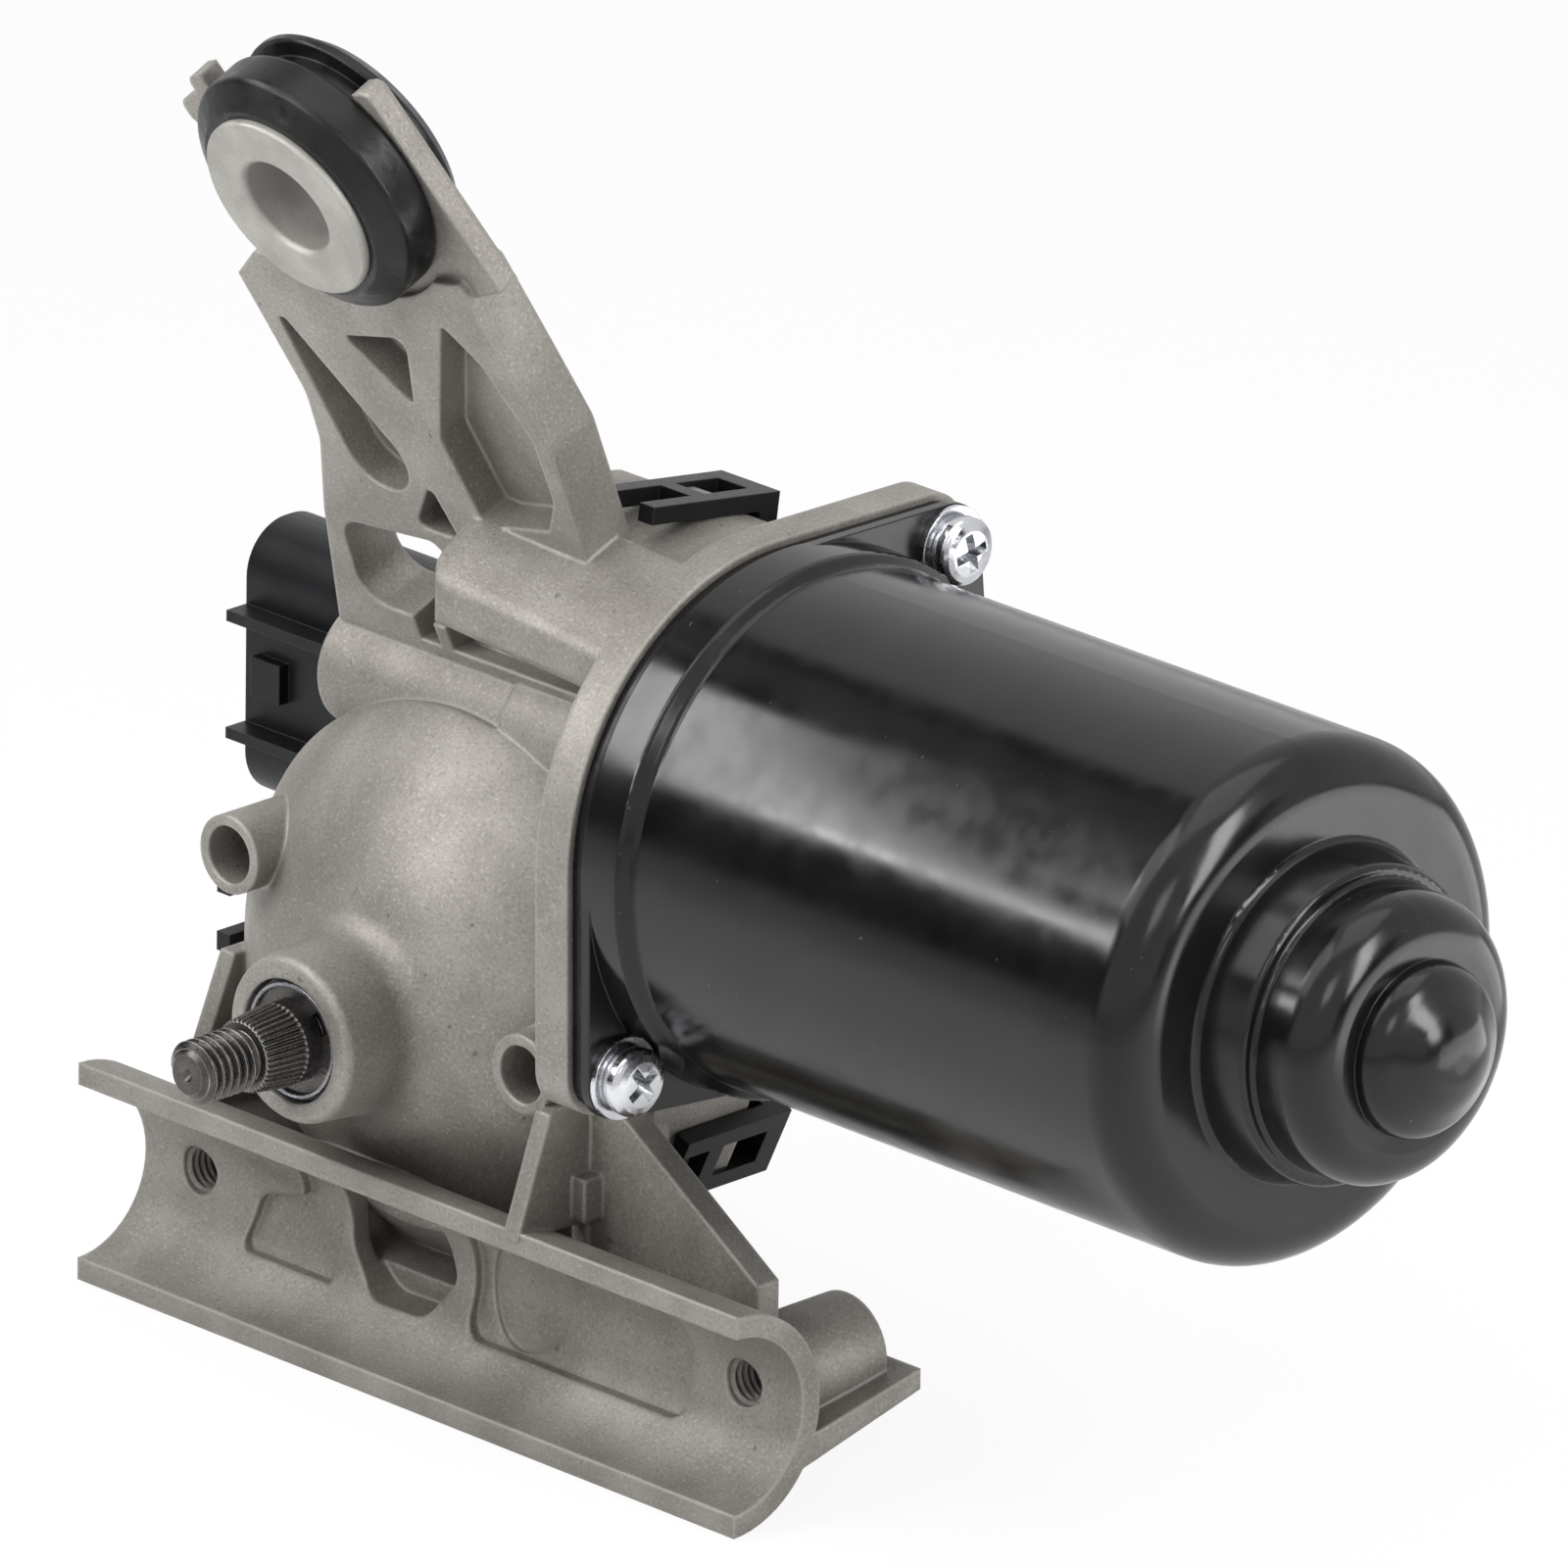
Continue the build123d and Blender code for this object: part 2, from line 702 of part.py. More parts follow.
def passage():
    """Passage from the can's mouth to the rear cover, with a rounded nose and a lower back roof."""
    end_x = -flange_thickness
    side = outline((passage_left_x, passage_bottom_z), (end_x, passage_bottom_z - passage_taper),
                   (end_x, passage_radius + 1), (passage_left_x, passage_radius + 1))
    room = extrude(facing_front(chamber_back_y) * side, chamber_back_y - passage_front_y)
    solid = room & spin_x((passage_left_x, 0), (passage_left_x, passage_radius),
                          (end_x, passage_radius - passage_taper), (end_x, 0))
    nose = [edge for edge in solid.edges()
            if edge.center().Y < passage_front_y + 0.1 and edge.center().X < end_x - 0.1]
    solid = fillet(nose, passage_round)
    roof = block(passage_left_x, end_x, passage_step_y, chamber_back_y + 1, 0, passage_radius + 1)
    return solid - (roof - rod_x(passage_left_x, end_x, passage_back_radius))


def front_bosses():
    """Two tubular bosses beside the dome."""
    return [rod_y(front_boss_face_y, 0, front_boss_radius, x, z) for x, z in front_boss_places]


def saddle():
    """Half tube for the frame tube, held by a web, ribs, a shelf and two screw bosses."""
    solid = rod_x(saddle_left_x, saddle_right_x, saddle_outer, saddle_y, saddle_z)
    solid -= block(saddle_left_x - 1, saddle_right_x + 1, saddle_y - saddle_outer - 1, saddle_y,
                   saddle_z - saddle_outer - 1, saddle_z + saddle_outer + 1)
    web_low_z = saddle_z - web_foot_sink
    web = outline((web_top_left_x, web_top_z), (web_left_x, web_shoulder_z), (web_left_x, web_low_z),
                  (web_right_x, web_low_z), (web_right_x, web_middle_z), (web_middle_x, web_middle_z))
    solid += extrude(facing_front(web_back_y) * web, web_thickness)
    gusset = outline((rib_x, saddle_z + gusset_foot_sink), *gusset_corners, (rib_x, rib_top_z))
    solid += extrude(facing_front(web_front_y + web_thickness) * gusset, web_thickness)
    thick = rib_thickness
    left_rib = outline((web_top_left_x, web_top_z), (web_left_x, web_shoulder_z), (web_left_x, saddle_z),
                       (web_left_x + thick, saddle_z), (web_left_x + thick, web_shoulder_z),
                       (web_top_left_x + thick, web_top_z))
    solid += extrude(facing_front(web_back_y) * left_rib, web_back_y - web_front_y)
    boss_front_y = saddle_y + saddle_outer - saddle_boss_sink
    for x in (saddle_screw_left_x, saddle_screw_right_x):
        solid += rod_y(boss_front_y, saddle_boss_back_y, saddle_boss_radius, x, saddle_z)
    return solid + [saddle_shelf(), saddle_floor(), saddle_rib(), saddle_hook(), rim_bead()]


def saddle_shelf():
    """Sloping shelf along the lower back of the saddle."""
    shelf = outline((shelf_front_y, shelf_low_z), (shelf_front_y, shelf_high_z),
                    (shelf_back_y, shelf_high_z + shelf_back_rise),
                    (shelf_back_y, shelf_low_z + shelf_back_rise + 1))
    start = saddle_left_x + shelf_left_inset
    return extrude(facing_x(start) * shelf, saddle_right_x - start)


def saddle_floor():
    """Flat foot of the web on the shelf."""
    low = shelf_high_z + 1
    return block(web_left_x, web_right_x, floor_front_y, web_back_y, low, low + floor_thickness)


def saddle_rib():
    """Deep rib from the saddle to the chamber, beside the flange."""
    low = shelf_high_z + 1
    rib = outline(*rib_front_corners, (rib_back_y, rib_top_z), (rib_back_y, low),
                  (rib_foot_y, low), (rib_foot_y, rib_foot_z))
    return extrude(facing_x(rib_x) * rib, rib_thickness)


def saddle_hook():
    """Small locating block on the front of the gusset."""
    return block(hook_left_x, hook_right_x, web_front_y - hook_reach, web_front_y, hook_low_z, hook_high_z)


def rim_bead():
    """Bead on the chamber's edge where it dips behind the saddle."""
    front = web_back_y - web_thickness - rim_bead_length
    bead = rod_y(front, web_back_y, chamber_radius + rim_bead_height, wheel_centre_x, wheel_centre_z)
    return bead & block(web_left_x, web_right_x, front, web_back_y, saddle_z - far, rim_bead_top_z)


def saddle_cuts():
    """Tube bed, shallow lightening pockets, window and threaded holes of the saddle."""
    bed = rod_x(saddle_left_x - 1, saddle_right_x + 1, tube_clamp_radius, saddle_y, saddle_z)
    deep = tube_clamp_radius + saddle_pocket_depth
    cuts = [bed]
    for corners in (saddle_left_pocket, saddle_right_pocket):
        stamp = extrude(facing_front(saddle_y + saddle_outer) * outline(*corners), saddle_outer)
        cuts.append(stamp & rod_x(saddle_left_x, saddle_right_x, deep, saddle_y, saddle_z))
    mark = rod_y(saddle_y, saddle_y + saddle_outer, saddle_mark_radius, saddle_mark_x, saddle_z)
    mark_deep = tube_clamp_radius + saddle_mark_depth
    cuts.append(mark & rod_x(saddle_left_x, saddle_right_x, mark_deep, saddle_y, saddle_z))
    window = outline(*saddle_window_corners)
    cuts.append(extrude(facing_front(saddle_y + saddle_outer + running_gap) * window, saddle_outer))
    for x in (saddle_screw_left_x, saddle_screw_right_x):
        hole_back = saddle_y + tube_clamp_radius + saddle_screw_depth
        cuts.append(rod_y(saddle_y, hole_back, saddle_screw_radius, x, saddle_z))
    return cuts


def gear_housing():
    """Flange, worm tube, chamber, passage, arm and saddle as one casting."""
    body = extrude(facing_x(-flange_thickness) * flange_outline(), flange_thickness)
    body += rod_x(tube_end_x, 0, tube_radius)
    body += rod_x(tube_thick_from_x, 0, tube_thick_radius)
    body += chamber_shell()
    body += seat_rim()
    body += passage()
    body += front_bosses()
    body += clip_lugs()
    body += block(bridge_left_x, -1, bridge_front_y, chamber_back_y, bridge_low_z, 0)
    body += rod_x(-flange_thickness, bearing_start_x + bearing_width, hub_radius)
    lower = saddle()
    lower -= spin_output((0, chamber_back_y), (chamber_inner + 1, chamber_back_y),
                         (chamber_inner + 1, wheel_room_side_y), (wheel_room_radius, wheel_room_front_y),
                         (0, wheel_room_front_y))
    body += lower
    body += arm() - block(web_left_x, 0, -far, far, -far, arm_foot_z)
    body -= chamber_hollow()
    body -= saddle_cuts()
    body -= rod_x(thrust_pad_x, -flange_thickness, tube_bore)
    body -= rod_x(-flange_thickness - 1, far, motor_shaft_radius + hub_shaft_gap)
    body -= rod_x(bearing_start_x, far, bearing_radius + seat_gap)
    for x, z in front_boss_places:
        body -= rod_y(front_boss_face_y - 1, front_boss_face_y + front_boss_depth, front_boss_bore, x, z)
    body -= screw_holes(-flange_thickness - 1, 1, screw_radius)
    duct_low = passage_bottom_z + passage_wall
    duct_high = duct_low + passage_duct_height
    body -= block(passage_left_x + duct_left_wall, -flange_thickness + 1, passage_front_y + duct_front_wall,
                  chamber_back_y + 1, duct_low, duct_high)
    body -= block(-flange_thickness - 1, 1, duct_mouth_front_y, duct_mouth_back_y, duct_low, duct_high)
    body -= block(wheel_centre_x, -flange_thickness, chamber_back_y, chamber_back_y + 1, -tube_radius, tube_radius)
    return body


# Rear cover, moulded with the connector and its snap clips
def connector_outline(grow=0.0):
    """Rounded mouth of the connector, drawn across X."""
    front = connector_front_y - grow
    back = connector_back_y + grow
    corner = connector_depth / 2 - connector_flat + grow
    return outline((front, connector_low_z - grow, corner), (back, connector_low_z - grow, corner),
                   (back, connector_high_z + grow, corner), (front, connector_high_z + grow, corner))


def side_place(angle):
    """Place on the chamber's edge, at an angle round the output shaft; its x points outward."""
    outward = Pos(chamber_radius + seat_gap, 0, 0)
    return Pos(wheel_centre_x, 0, wheel_centre_z) * Rot(0, -angle, 0) * outward


def top_place():
    """Place on the passage's roof; its x points up."""
    return Pos(top_clip_x, 0, top_clip_z) * Rot(-top_clip_tilt, 0, 0) * Rot(0, -90, 0)


def snap_clip(front_y):
    """I-shaped snap clip: two bars along Y, a stem across them and a root in the cover."""
    wide = clip_half_width
    back_y = cover_seat_y + clip_root_gap + clip_root_length
    clip = block(0, clip_thickness, clip_stem_y, clip_stem_y + clip_bar_width, -wide, wide)
    clip += block(-clip_root_sink, clip_thickness, cover_seat_y + clip_root_gap, back_y, -wide, wide)
    for z in (-wide, wide - clip_bar_width):
        clip += block(0, clip_thickness, front_y, back_y, z, z + clip_bar_width)
    return clip


def clip_lugs():
    """Lugs on the housing that the clips' stems catch behind."""
    start = clip_stem_y + clip_bar_width + clip_play
    half = clip_lug_half_width
    lug = block(-clip_lug_sink, clip_lug_height, start, start + clip_root_length, -half, half)
    lugs = [side_place(angle) * lug for angle, front_y in side_clips]
    return lugs + [top_place() * lug]


def rear_cover():
    """Deep cover over the wheel and the switch contacts, with connector and clips."""
    shell = extrude(facing_front(cover_back_y) * cover_outline(), cover_depth)
    shell = fillet(shell.faces().sort_by(Axis.Y)[-1].edges(), cover_round)
    upper_back_y = cover_seat_y + cover_upper_thickness
    shell -= block(-far, 0, upper_back_y, cover_back_y + 1, cover_step_z, far)
    mould = facing_x(connector_left_x) * connector_outline()
    shell += extrude(mould, connector_root_x - connector_left_x)
    inside = extrude(facing_front(cover_back_y - cover_wall) * cover_outline(-cover_wall), cover_depth)
    inside = fillet(inside.faces().sort_by(Axis.Y)[-1].edges(), cover_round - cover_wall)
    shell -= inside - block(-far, 0, upper_back_y - cover_wall, far, cover_step_z - cover_wall, far)
    mouth = facing_x(connector_left_x) * connector_outline(-connector_wall)
    shell -= extrude(mouth, connector_floor_x - connector_left_x)
    inner = facing_x(connector_floor_x + cover_wall) * connector_outline(-connector_wall)
    shell -= extrude(inner, connector_root_x - connector_floor_x - 2 * cover_wall)
    for z in connector_rails_z:
        half = connector_rail_thickness / 2
        shell += block(connector_left_x, connector_floor_x, connector_front_y - connector_rail_height,
                       connector_front_y + connector_sink, z - half, z + half)
    lug_x = connector_left_x + connector_lug_inset
    lug_z = (sum(connector_rails_z) - connector_lug_width) / 2
    shell += block(lug_x, lug_x + connector_lug_width, connector_front_y - connector_lug_height,
                   connector_front_y + connector_sink, lug_z, lug_z + connector_lug_width)
    for angle, front_y in side_clips:
        shell += side_place(angle) * snap_clip(front_y)
    shell += top_place() * snap_clip(top_clip_front_y)
    for z in terminal_places():
        shell -= terminal(z, terminal_press)
    return shell


def cover_gasket():
    """Flat seal under the rear cover."""
    inner = cover_gasket_margin - rim_inset - 2 * chamber_rim_width
    ring = cover_outline(-rim_inset) - cover_outline(inner)
    return extrude(facing_front(cover_seat_y) * ring, cover_gasket_thickness)


def terminal_places():
    """Heights of the connector blades, evenly spaced in the connector."""
    middle = (connector_low_z + connector_high_z) / 2
    step = (connector_high_z - connector_low_z - 2 * connector_wall) / (terminal_count + connector_flat)
    return [middle + (i - (terminal_count - 1) / 2) * step for i in range(terminal_count)]


def terminal(z, grow=0.0):
    """One blade, which passes through the connector's floor."""
    y = connector_front_y + connector_depth / 2
    return block(connector_floor_x - terminal_length, connector_floor_x + terminal_tail,
                 y - terminal_thickness / 2 - grow, y + terminal_thickness / 2 + grow,
                 z - terminal_width / 2 - grow, z + terminal_width / 2 + grow)


def connector_terminals():
    """Row of flat blades in the connector."""
    return [terminal(z) for z in terminal_places()]


def park_contacts():
    """Spring fingers that ride on the wheel's contact disc, bent from a foot on the cover."""
    foot_back = cover_back_y - cover_wall
    foot_front = foot_back - contact_thickness
    tip = wheel_width / 2 + contact_disc_thickness + contact_gap
    low = wheel_centre_z + contact_low
    high = low + contact_height
    back = tip + contact_tip_low
    foot = low - contact_tip_low
    fingers = []
    for i in range(contact_count):
        x = wheel_centre_x + contact_first_x + contact_step * i
        shape = outline((foot_back, low), (foot_back, high), (foot_front - contact_gap, high),
                        (tip, low + contact_tip_high), (tip, foot), (back, foot), (back, low + 1),
                        (foot_front, high - contact_thickness), (foot_front, low))
        fingers.append(extrude(facing_x(x) * shape, contact_width))
    return fingers


# Worm drive
def worm_thread():
    """One-start right-hand thread, swept along its helix and starting at the bottom."""
    path = Helix(worm_pitch, 2 * worm_half_length, worm_pitch_radius)
    slope = tan(radians(pressure_angle))
    half = (worm_pitch - tooth_backlash) / 4
    inner = worm_root_radius - 0.2
    rise = worm_tip_radius - worm_pitch_radius
    fall = worm_pitch_radius - inner
    tooth = Polyline((inner, -half - fall * slope), (worm_tip_radius, -half + rise * slope),
                     (worm_tip_radius, half - rise * slope), (inner, half + fall * slope), close=True)
    profile = Plane.XZ * make_face(tooth)
    thread = sweep(profile, path=path, is_frenet=True)
    start = Plane(origin=(wheel_centre_x - worm_half_length, 0, 0), x_dir=(0, 0, -1), z_dir=(1, 0, 0))
    return start * thread


def armature_shaft():
    """Motor shaft with the worm cut on its front end."""
    worm_start = wheel_centre_x - worm_half_length
    worm_end = wheel_centre_x + worm_half_length
    front_x = thrust_pad_x + thrust_pad_thickness + 2 * seat_gap
    shaft = rod_x(front_x, worm_end + worm_runout, worm_root_radius)
    step_x = core_end_x + winding_overhang + magnet_spring_inset
    shaft += rod_x(worm_end + worm_runout / 2, step_x, motor_shaft_radius)
    shaft += rod_x(step_x - 1, rear_shaft_end_x, motor_shaft_radius - rear_journal_drop)
    ends = rod_x(worm_start - worm_trim, worm_end + worm_trim, worm_tip_radius + 1)
    return shaft + (worm_thread() & ends)


def drive_wheel():
    """Moulded worm wheel: toothed rim, ribbed web and hub."""
    half = wheel_width / 2
    centre = (wheel_centre_x, wheel_centre_z)
    wheel = rod_y(-half, half, wheel_tip_radius, *centre)
    wheel -= rod_y(-half - 1, wheel_web_front_y, wheel_root_radius - wheel_rim_wall, *centre)
    wheel += rod_y(-half - wheel_hub_front, half + wheel_hub_back, wheel_hub_radius, *centre)
    for i in range(wheel_rib_count):
        turn = Rot(0, 360 / wheel_rib_count * i, 0)
        rib = block(wheel_hub_radius - 1, wheel_root_radius - 2, 1 - half, 1, -wheel_rib_thickness / 2,
                    wheel_rib_thickness / 2)
        wheel += Pos(wheel_centre_x, 0, wheel_centre_z) * (turn * rib)
    slope = tan(radians(pressure_angle))
    gap = (worm_pitch + tooth_backlash) / 4
    top = wheel_tip_radius + 0.5
    widen = (top - wheel_pitch_radius) * slope
    narrow = (wheel_pitch_radius - wheel_root_radius) * slope
    lead = radians(lead_angle)
    run = Plane(origin=(0, 0, 0), x_dir=(cos(lead), -sin(lead), 0), z_dir=(-sin(lead), -cos(lead), 0))
    section = outline((-gap - widen, top), (gap + widen, top),
                      (gap - narrow, wheel_root_radius), (-gap + narrow, wheel_root_radius))
    cutter = extrude(run * section, wheel_width, both=True)
    cutters = []
    for i in range(wheel_teeth):
        turned = Rot(0, 360 / wheel_teeth * i, 0) * cutter
        cutters.append(Pos(wheel_centre_x, 0, wheel_centre_z) * turned)
    wheel -= cutters
    return wheel - rod_y(-far, far, shaft_radius + seat_gap, *centre)


def contact_disc():
    """Copper ring on the back of the wheel, open where the wipers park."""
    back = wheel_width / 2
    disc = ring_on_output(back, back + contact_disc_thickness, contact_disc_inner, contact_disc_outer)
    notch = block(park_notch_inner, park_notch_outer, back - 1, back + 2, -park_notch_width / 2,
                  park_notch_width / 2)
    return disc - Pos(wheel_centre_x, 0, wheel_centre_z) * (Rot(0, park_notch_angle, 0) * notch)


def output_shaft():
    """Ground shaft with a knurled taper, a threaded end and a ring groove."""
    groove = shaft_radius - ring_groove_depth
    groove_back = ring_y + retaining_ring_thickness + seat_gap
    groove_front = ring_y - seat_gap
    return spin_output((0, shaft_back_y), (shaft_radius, shaft_back_y, thread_chamfer),
                       (shaft_radius, groove_back), (groove, groove_back), (groove, groove_front),
                       (shaft_radius, groove_front), (shaft_radius, shaft_knurl_y),
                       (shaft_radius + knurl_height, shaft_knurl_y - knurl_chamfer),
                       (knurl_end_radius, shaft_thread_y), (thread_radius, shaft_thread_y - thread_chamfer),
                       (thread_radius, shaft_tip_y, thread_end_round), (0, shaft_tip_y))


def shaft_bushes():
    """Two sintered bushes pressed into the output boss."""
    front = output_ring_y + ring_recess_depth
    back = -wheel_width / 2 - bush_back_gap
    bushes = []
    for start in (front, back - bush_length):
        bush = rod_y(start, start + bush_length, bush_radius, wheel_centre_x, wheel_centre_z)
        bore = rod_y(start - 1, start + bush_length + 1, shaft_radius + bush_running_gap,
                     wheel_centre_x, wheel_centre_z)
        bushes.append(bush - bore)
    return bushes


def ring_on_output(front, back, inner, outer):
    """Flat ring about the output shaft."""
    ring = rod_y(front, back, outer, wheel_centre_x, wheel_centre_z)
    return ring - rod_y(front - 1, back + 1, inner, wheel_centre_x, wheel_centre_z)


def retaining_ring():
    """Spring ring in the shaft's groove, open on one side."""
    inner = shaft_radius - ring_groove_depth + ring_grip
    ring = ring_on_output(ring_y, ring_y + retaining_ring_thickness, inner, retaining_ring_radius)
    gap = block(0, far, ring_y - 1, ring_y + 3, -ring_opening / 2, ring_opening / 2)
    return ring - Pos(wheel_centre_x, 0, wheel_centre_z) * (Rot(0, -ring_opening_angle, 0) * gap)


def thrust_washer():
    """Washer between the wheel's hub and the housing floor."""
    back = -wheel_width / 2 - wheel_hub_front - seat_gap
    return ring_on_output(back - thrust_washer_thickness, back, shaft_radius + ring_grip, thrust_washer_radius)


def front_shim():
    """Thin shim between the retaining ring and the front bush."""
    back = output_ring_y + ring_recess_depth - terminal_press
    return ring_on_output(back - shim_thickness, back, shaft_radius + ring_grip, retaining_ring_radius)


def shaft_seal():
    """Rubber ring between the two bushes."""
    return ring_on_output(seal_front_y, seal_back_y, shaft_radius + seat_gap, bush_radius - seat_gap / 2)


# Armature and its bearings
def polar(distance, angle):
    """Point (Y, Z) at a distance from the motor axis."""
    return distance * cos(radians(angle)), distance * sin(radians(angle))


def armature_core():
    """Stack of laminations with open slots."""
    core = rod_x(core_start_x, core_end_x, core_radius)
    cuts = [rod_x(0, can_end_x, motor_shaft_radius)]
    for i in range(core_slots):
        turn = 360 / core_slots * i
        y, z = polar(core_radius - slot_depth, turn)
        cuts.append(rod_x(core_start_x - 1, core_end_x + 1, slot_radius, y, z))
        slit = block(core_start_x - 1, core_end_x + 1, core_radius - slot_radius, core_radius + 1,
                     -slot_mouth / 2, slot_mouth / 2)
        cuts.append(Rot(turn, 0, 0) * slit)
    return core - cuts


def armature_windings():
    """Copper coils: bars in the slots and the turned ends on both sides."""
    coil_radius = core_radius - coil_inset
    coil = rod_x(core_start_x - winding_overhang, core_start_x - seat_gap, coil_radius)
    coil += rod_x(core_end_x + seat_gap, core_end_x + winding_overhang, coil_radius)
    coil = fillet(coil.edges().filter_by(GeomType.CIRCLE), coil_round)
    for i in range(core_slots):
        y, z = polar(core_radius - slot_depth, 360 / core_slots * i)
        coil += rod_x(core_start_x - 1, core_end_x + 1, slot_radius - wire_gap, y, z)
    return coil - rod_x(0, can_end_x, motor_shaft_radius + 2 * wire_gap)


def commutator():
    """Copper segments on the shaft, parted by narrow slots."""
    end_x = commutator_start_x + commutator_length
    drum = rod_x(commutator_start_x, end_x, commutator_radius)
    drum += rod_x(end_x - commutator_hook_length, end_x, commutator_radius + commutator_hook_height)
    cuts = [rod_x(0, can_end_x, motor_shaft_radius)]
    for i in range(commutator_bars):
        slot = block(0, far, commutator_radius - commutator_slot_depth, commutator_radius + 2,
                     -commutator_slot_width / 2, commutator_slot_width / 2)
        cuts.append(Rot(360 / commutator_bars * i, 0, 0) * slot)
    return drum - cuts


def ring_x(start, end, inner, outer):
    """Flat ring about the motor axis."""
    return rod_x(start, end, outer) - rod_x(start - 1, end + 1, inner)


def bearing_outer_race():
    """Outer race of the ball bearing in the housing."""
    return ring_x(bearing_start_x, bearing_start_x + bearing_width, bearing_radius - bearing_race, bearing_radius)


def bearing_inner_race():
    """Inner race, pressed on the motor shaft."""
    return ring_x(bearing_start_x, bearing_start_x + bearing_width, motor_shaft_radius,
                  motor_shaft_radius + bearing_race)


def bearing_balls():
    """Balls between the two races."""
    inner = motor_shaft_radius + bearing_race
    outer = bearing_radius - bearing_race
    ball = (outer - inner) / 2 - seat_gap
    balls = []
    for i in range(bearing_ball_count):
        y, z = polar((inner + outer) / 2, 360 / bearing_ball_count * i)
        balls.append(Pos(bearing_start_x + bearing_width / 2, y, z) * Sphere(ball))
    return balls


def bearing_retainer():
    """Spring plate that keeps the bearing in its hub."""
    start = bearing_start_x + bearing_width
    return ring_x(start, start + retainer_thickness, bearing_radius - bearing_race + running_gap, hub_radius)


def worm_bush():
    """Sintered bush at the closed end of the worm tube."""
    return ring_x(worm_bush_x, worm_bush_x + worm_bush_length, worm_root_radius + bush_running_gap, tube_bore)


def worm_thrust_pad():
    """Hard pad against which the worm's end runs."""
    return rod_x(thrust_pad_x, thrust_pad_x + thrust_pad_thickness, thrust_pad_radius)


def rear_bush():
    """Self-aligning ball bush in the can's boss."""
    centre = rear_seat_x - rear_ball_drop
    ball = Pos(centre, 0, 0) * Sphere(rear_ball_radius)
    ball &= rod_x(centre - rear_ball_half_length, centre + rear_ball_half_length, rear_ball_radius + 1)
    return ball - rod_x(0, dome_tip_x, motor_shaft_radius - rear_journal_drop + bush_running_gap)


def bush_retainer():
    """Spring plate that holds the ball bush, with lugs that grip the boss."""
    end = rear_seat_x - 2 * rear_ball_drop
    outer = can_boss_radius - can_wall
    plate = ring_x(end - retainer_thickness, end, dome_inner, outer)
    for i in range(retainer_slots):
        slot = block(end - 2, end + 1, outer - retainer_slot_depth, can_boss_radius, -retainer_slot_width / 2,
                     retainer_slot_width / 2)
        plate -= Rot(360 / retainer_slots * i, 0, 0) * slot
    return plate


def thrust_plug():
    """Plastic plug in the end dome that takes the shaft's end thrust."""
    start = rear_shaft_end_x + clip_play
    return rod_x(start, rear_shaft_end_x + thrust_plug_length, thrust_plug_radius)


def arc_shell(start, end, inner, outer, middle_angle, arc):
    """Part of a ring about the motor axis, centred on an angle."""
    ring = facing_x(start) * (Circle(outer) - Circle(inner))
    reach = 2 * outer
    y0, z0 = polar(reach, middle_angle - arc / 2)
    y1, z1 = polar(reach, middle_angle)
    y2, z2 = polar(reach, middle_angle + arc / 2)
    wedge = outline((0, 0), (y0, z0), (y1, z1), (y2, z2))
    return extrude(ring, end - start) & extrude(facing_x(start) * wedge, end - start)


def field_magnets():
    """Two ferrite shells on the can's wall."""
    outer = can_inner - seat_gap
    end = magnet_start_x + magnet_length
    return [arc_shell(magnet_start_x, end, magnet_inner, outer, a, magnet_arc) for a in (90, 270)]


def magnet_springs():
    """Two spring strips that press the magnets apart."""
    outer = can_inner - seat_gap
    start = magnet_start_x + magnet_spring_inset
    end = magnet_start_x + magnet_length - magnet_spring_inset
    arc = 180 - magnet_arc - clip_play
    inner = outer - magnet_spring_thickness
    return [arc_shell(start, end, inner, outer, a, arc) for a in (0, 180)]


# Brush gear
def brush_card():
    """Plastic card in the can's mouth, on three feet."""
    card = ring_x(card_start_x, card_start_x + card_thickness, card_hole_radius, card_radius)
    for angle in brush_angles:
        y, z = polar(card_radius - card_foot_inset, angle + 60)
        card += rod_x(0, card_start_x + 1, card_foot_radius, y, z)
    return card


def at_brush(angle, solid):
    """Turn a piece modelled along +Y to a brush's angle."""
    return Rot(angle, 0, 0) * solid


def brush_holders():
    """Brass box round each brush."""
    x = commutator_start_x + commutator_length / 2
    half = brush_thickness / 2 + holder_wall
    start = commutator_radius + holder_gap
    holders = []
    for angle in brush_angles:
        box = block(card_start_x + card_thickness, x + half, start, start + holder_length,
                    -brush_width / 2 - holder_wall, brush_width / 2 + holder_wall)
        box -= block(x - brush_thickness / 2 - running_gap, x + brush_thickness / 2 + running_gap, start - 1,
                     start + holder_length - holder_wall, -brush_width / 2 - running_gap,
                     brush_width / 2 + running_gap)
        holders.append(at_brush(angle, box))
    return holders


def brushes():
    """Carbon brushes, hollowed to the commutator."""
    x = commutator_start_x + commutator_length / 2
    found = []
    for angle in brush_angles:
        brush = block(x - brush_thickness / 2, x + brush_thickness / 2, commutator_radius - 1,
                      commutator_radius + brush_length, -brush_width / 2, brush_width / 2)
        found.append(at_brush(angle, brush - rod_x(0, far, commutator_radius + running_gap)))
    return found


def brush_springs():
    """Spring behind each brush."""
    x = commutator_start_x + commutator_length / 2
    start = commutator_radius + brush_length
    end = commutator_radius + holder_gap + holder_length - holder_wall
    springs = []
    for angle in brush_angles:
        coil = Rot(-90, 0, 0) * (Cylinder(spring_outer, end - start) - Cylinder(spring_inner, end - start))
        springs.append(at_brush(angle, Pos(x, (start + end) / 2, 0) * coil))
    return springs


def choke_coils():
    """Two interference chokes that stand on the card."""
    start = card_start_x + card_thickness
    chokes = []
    for angle in (brush_angles[0] + 60, brush_angles[2] + 60):
        y, z = polar(card_radius - choke_inset, angle)
        chokes.append(rod_x(start, start + choke_length, choke_radius, y, z))
    return chokes


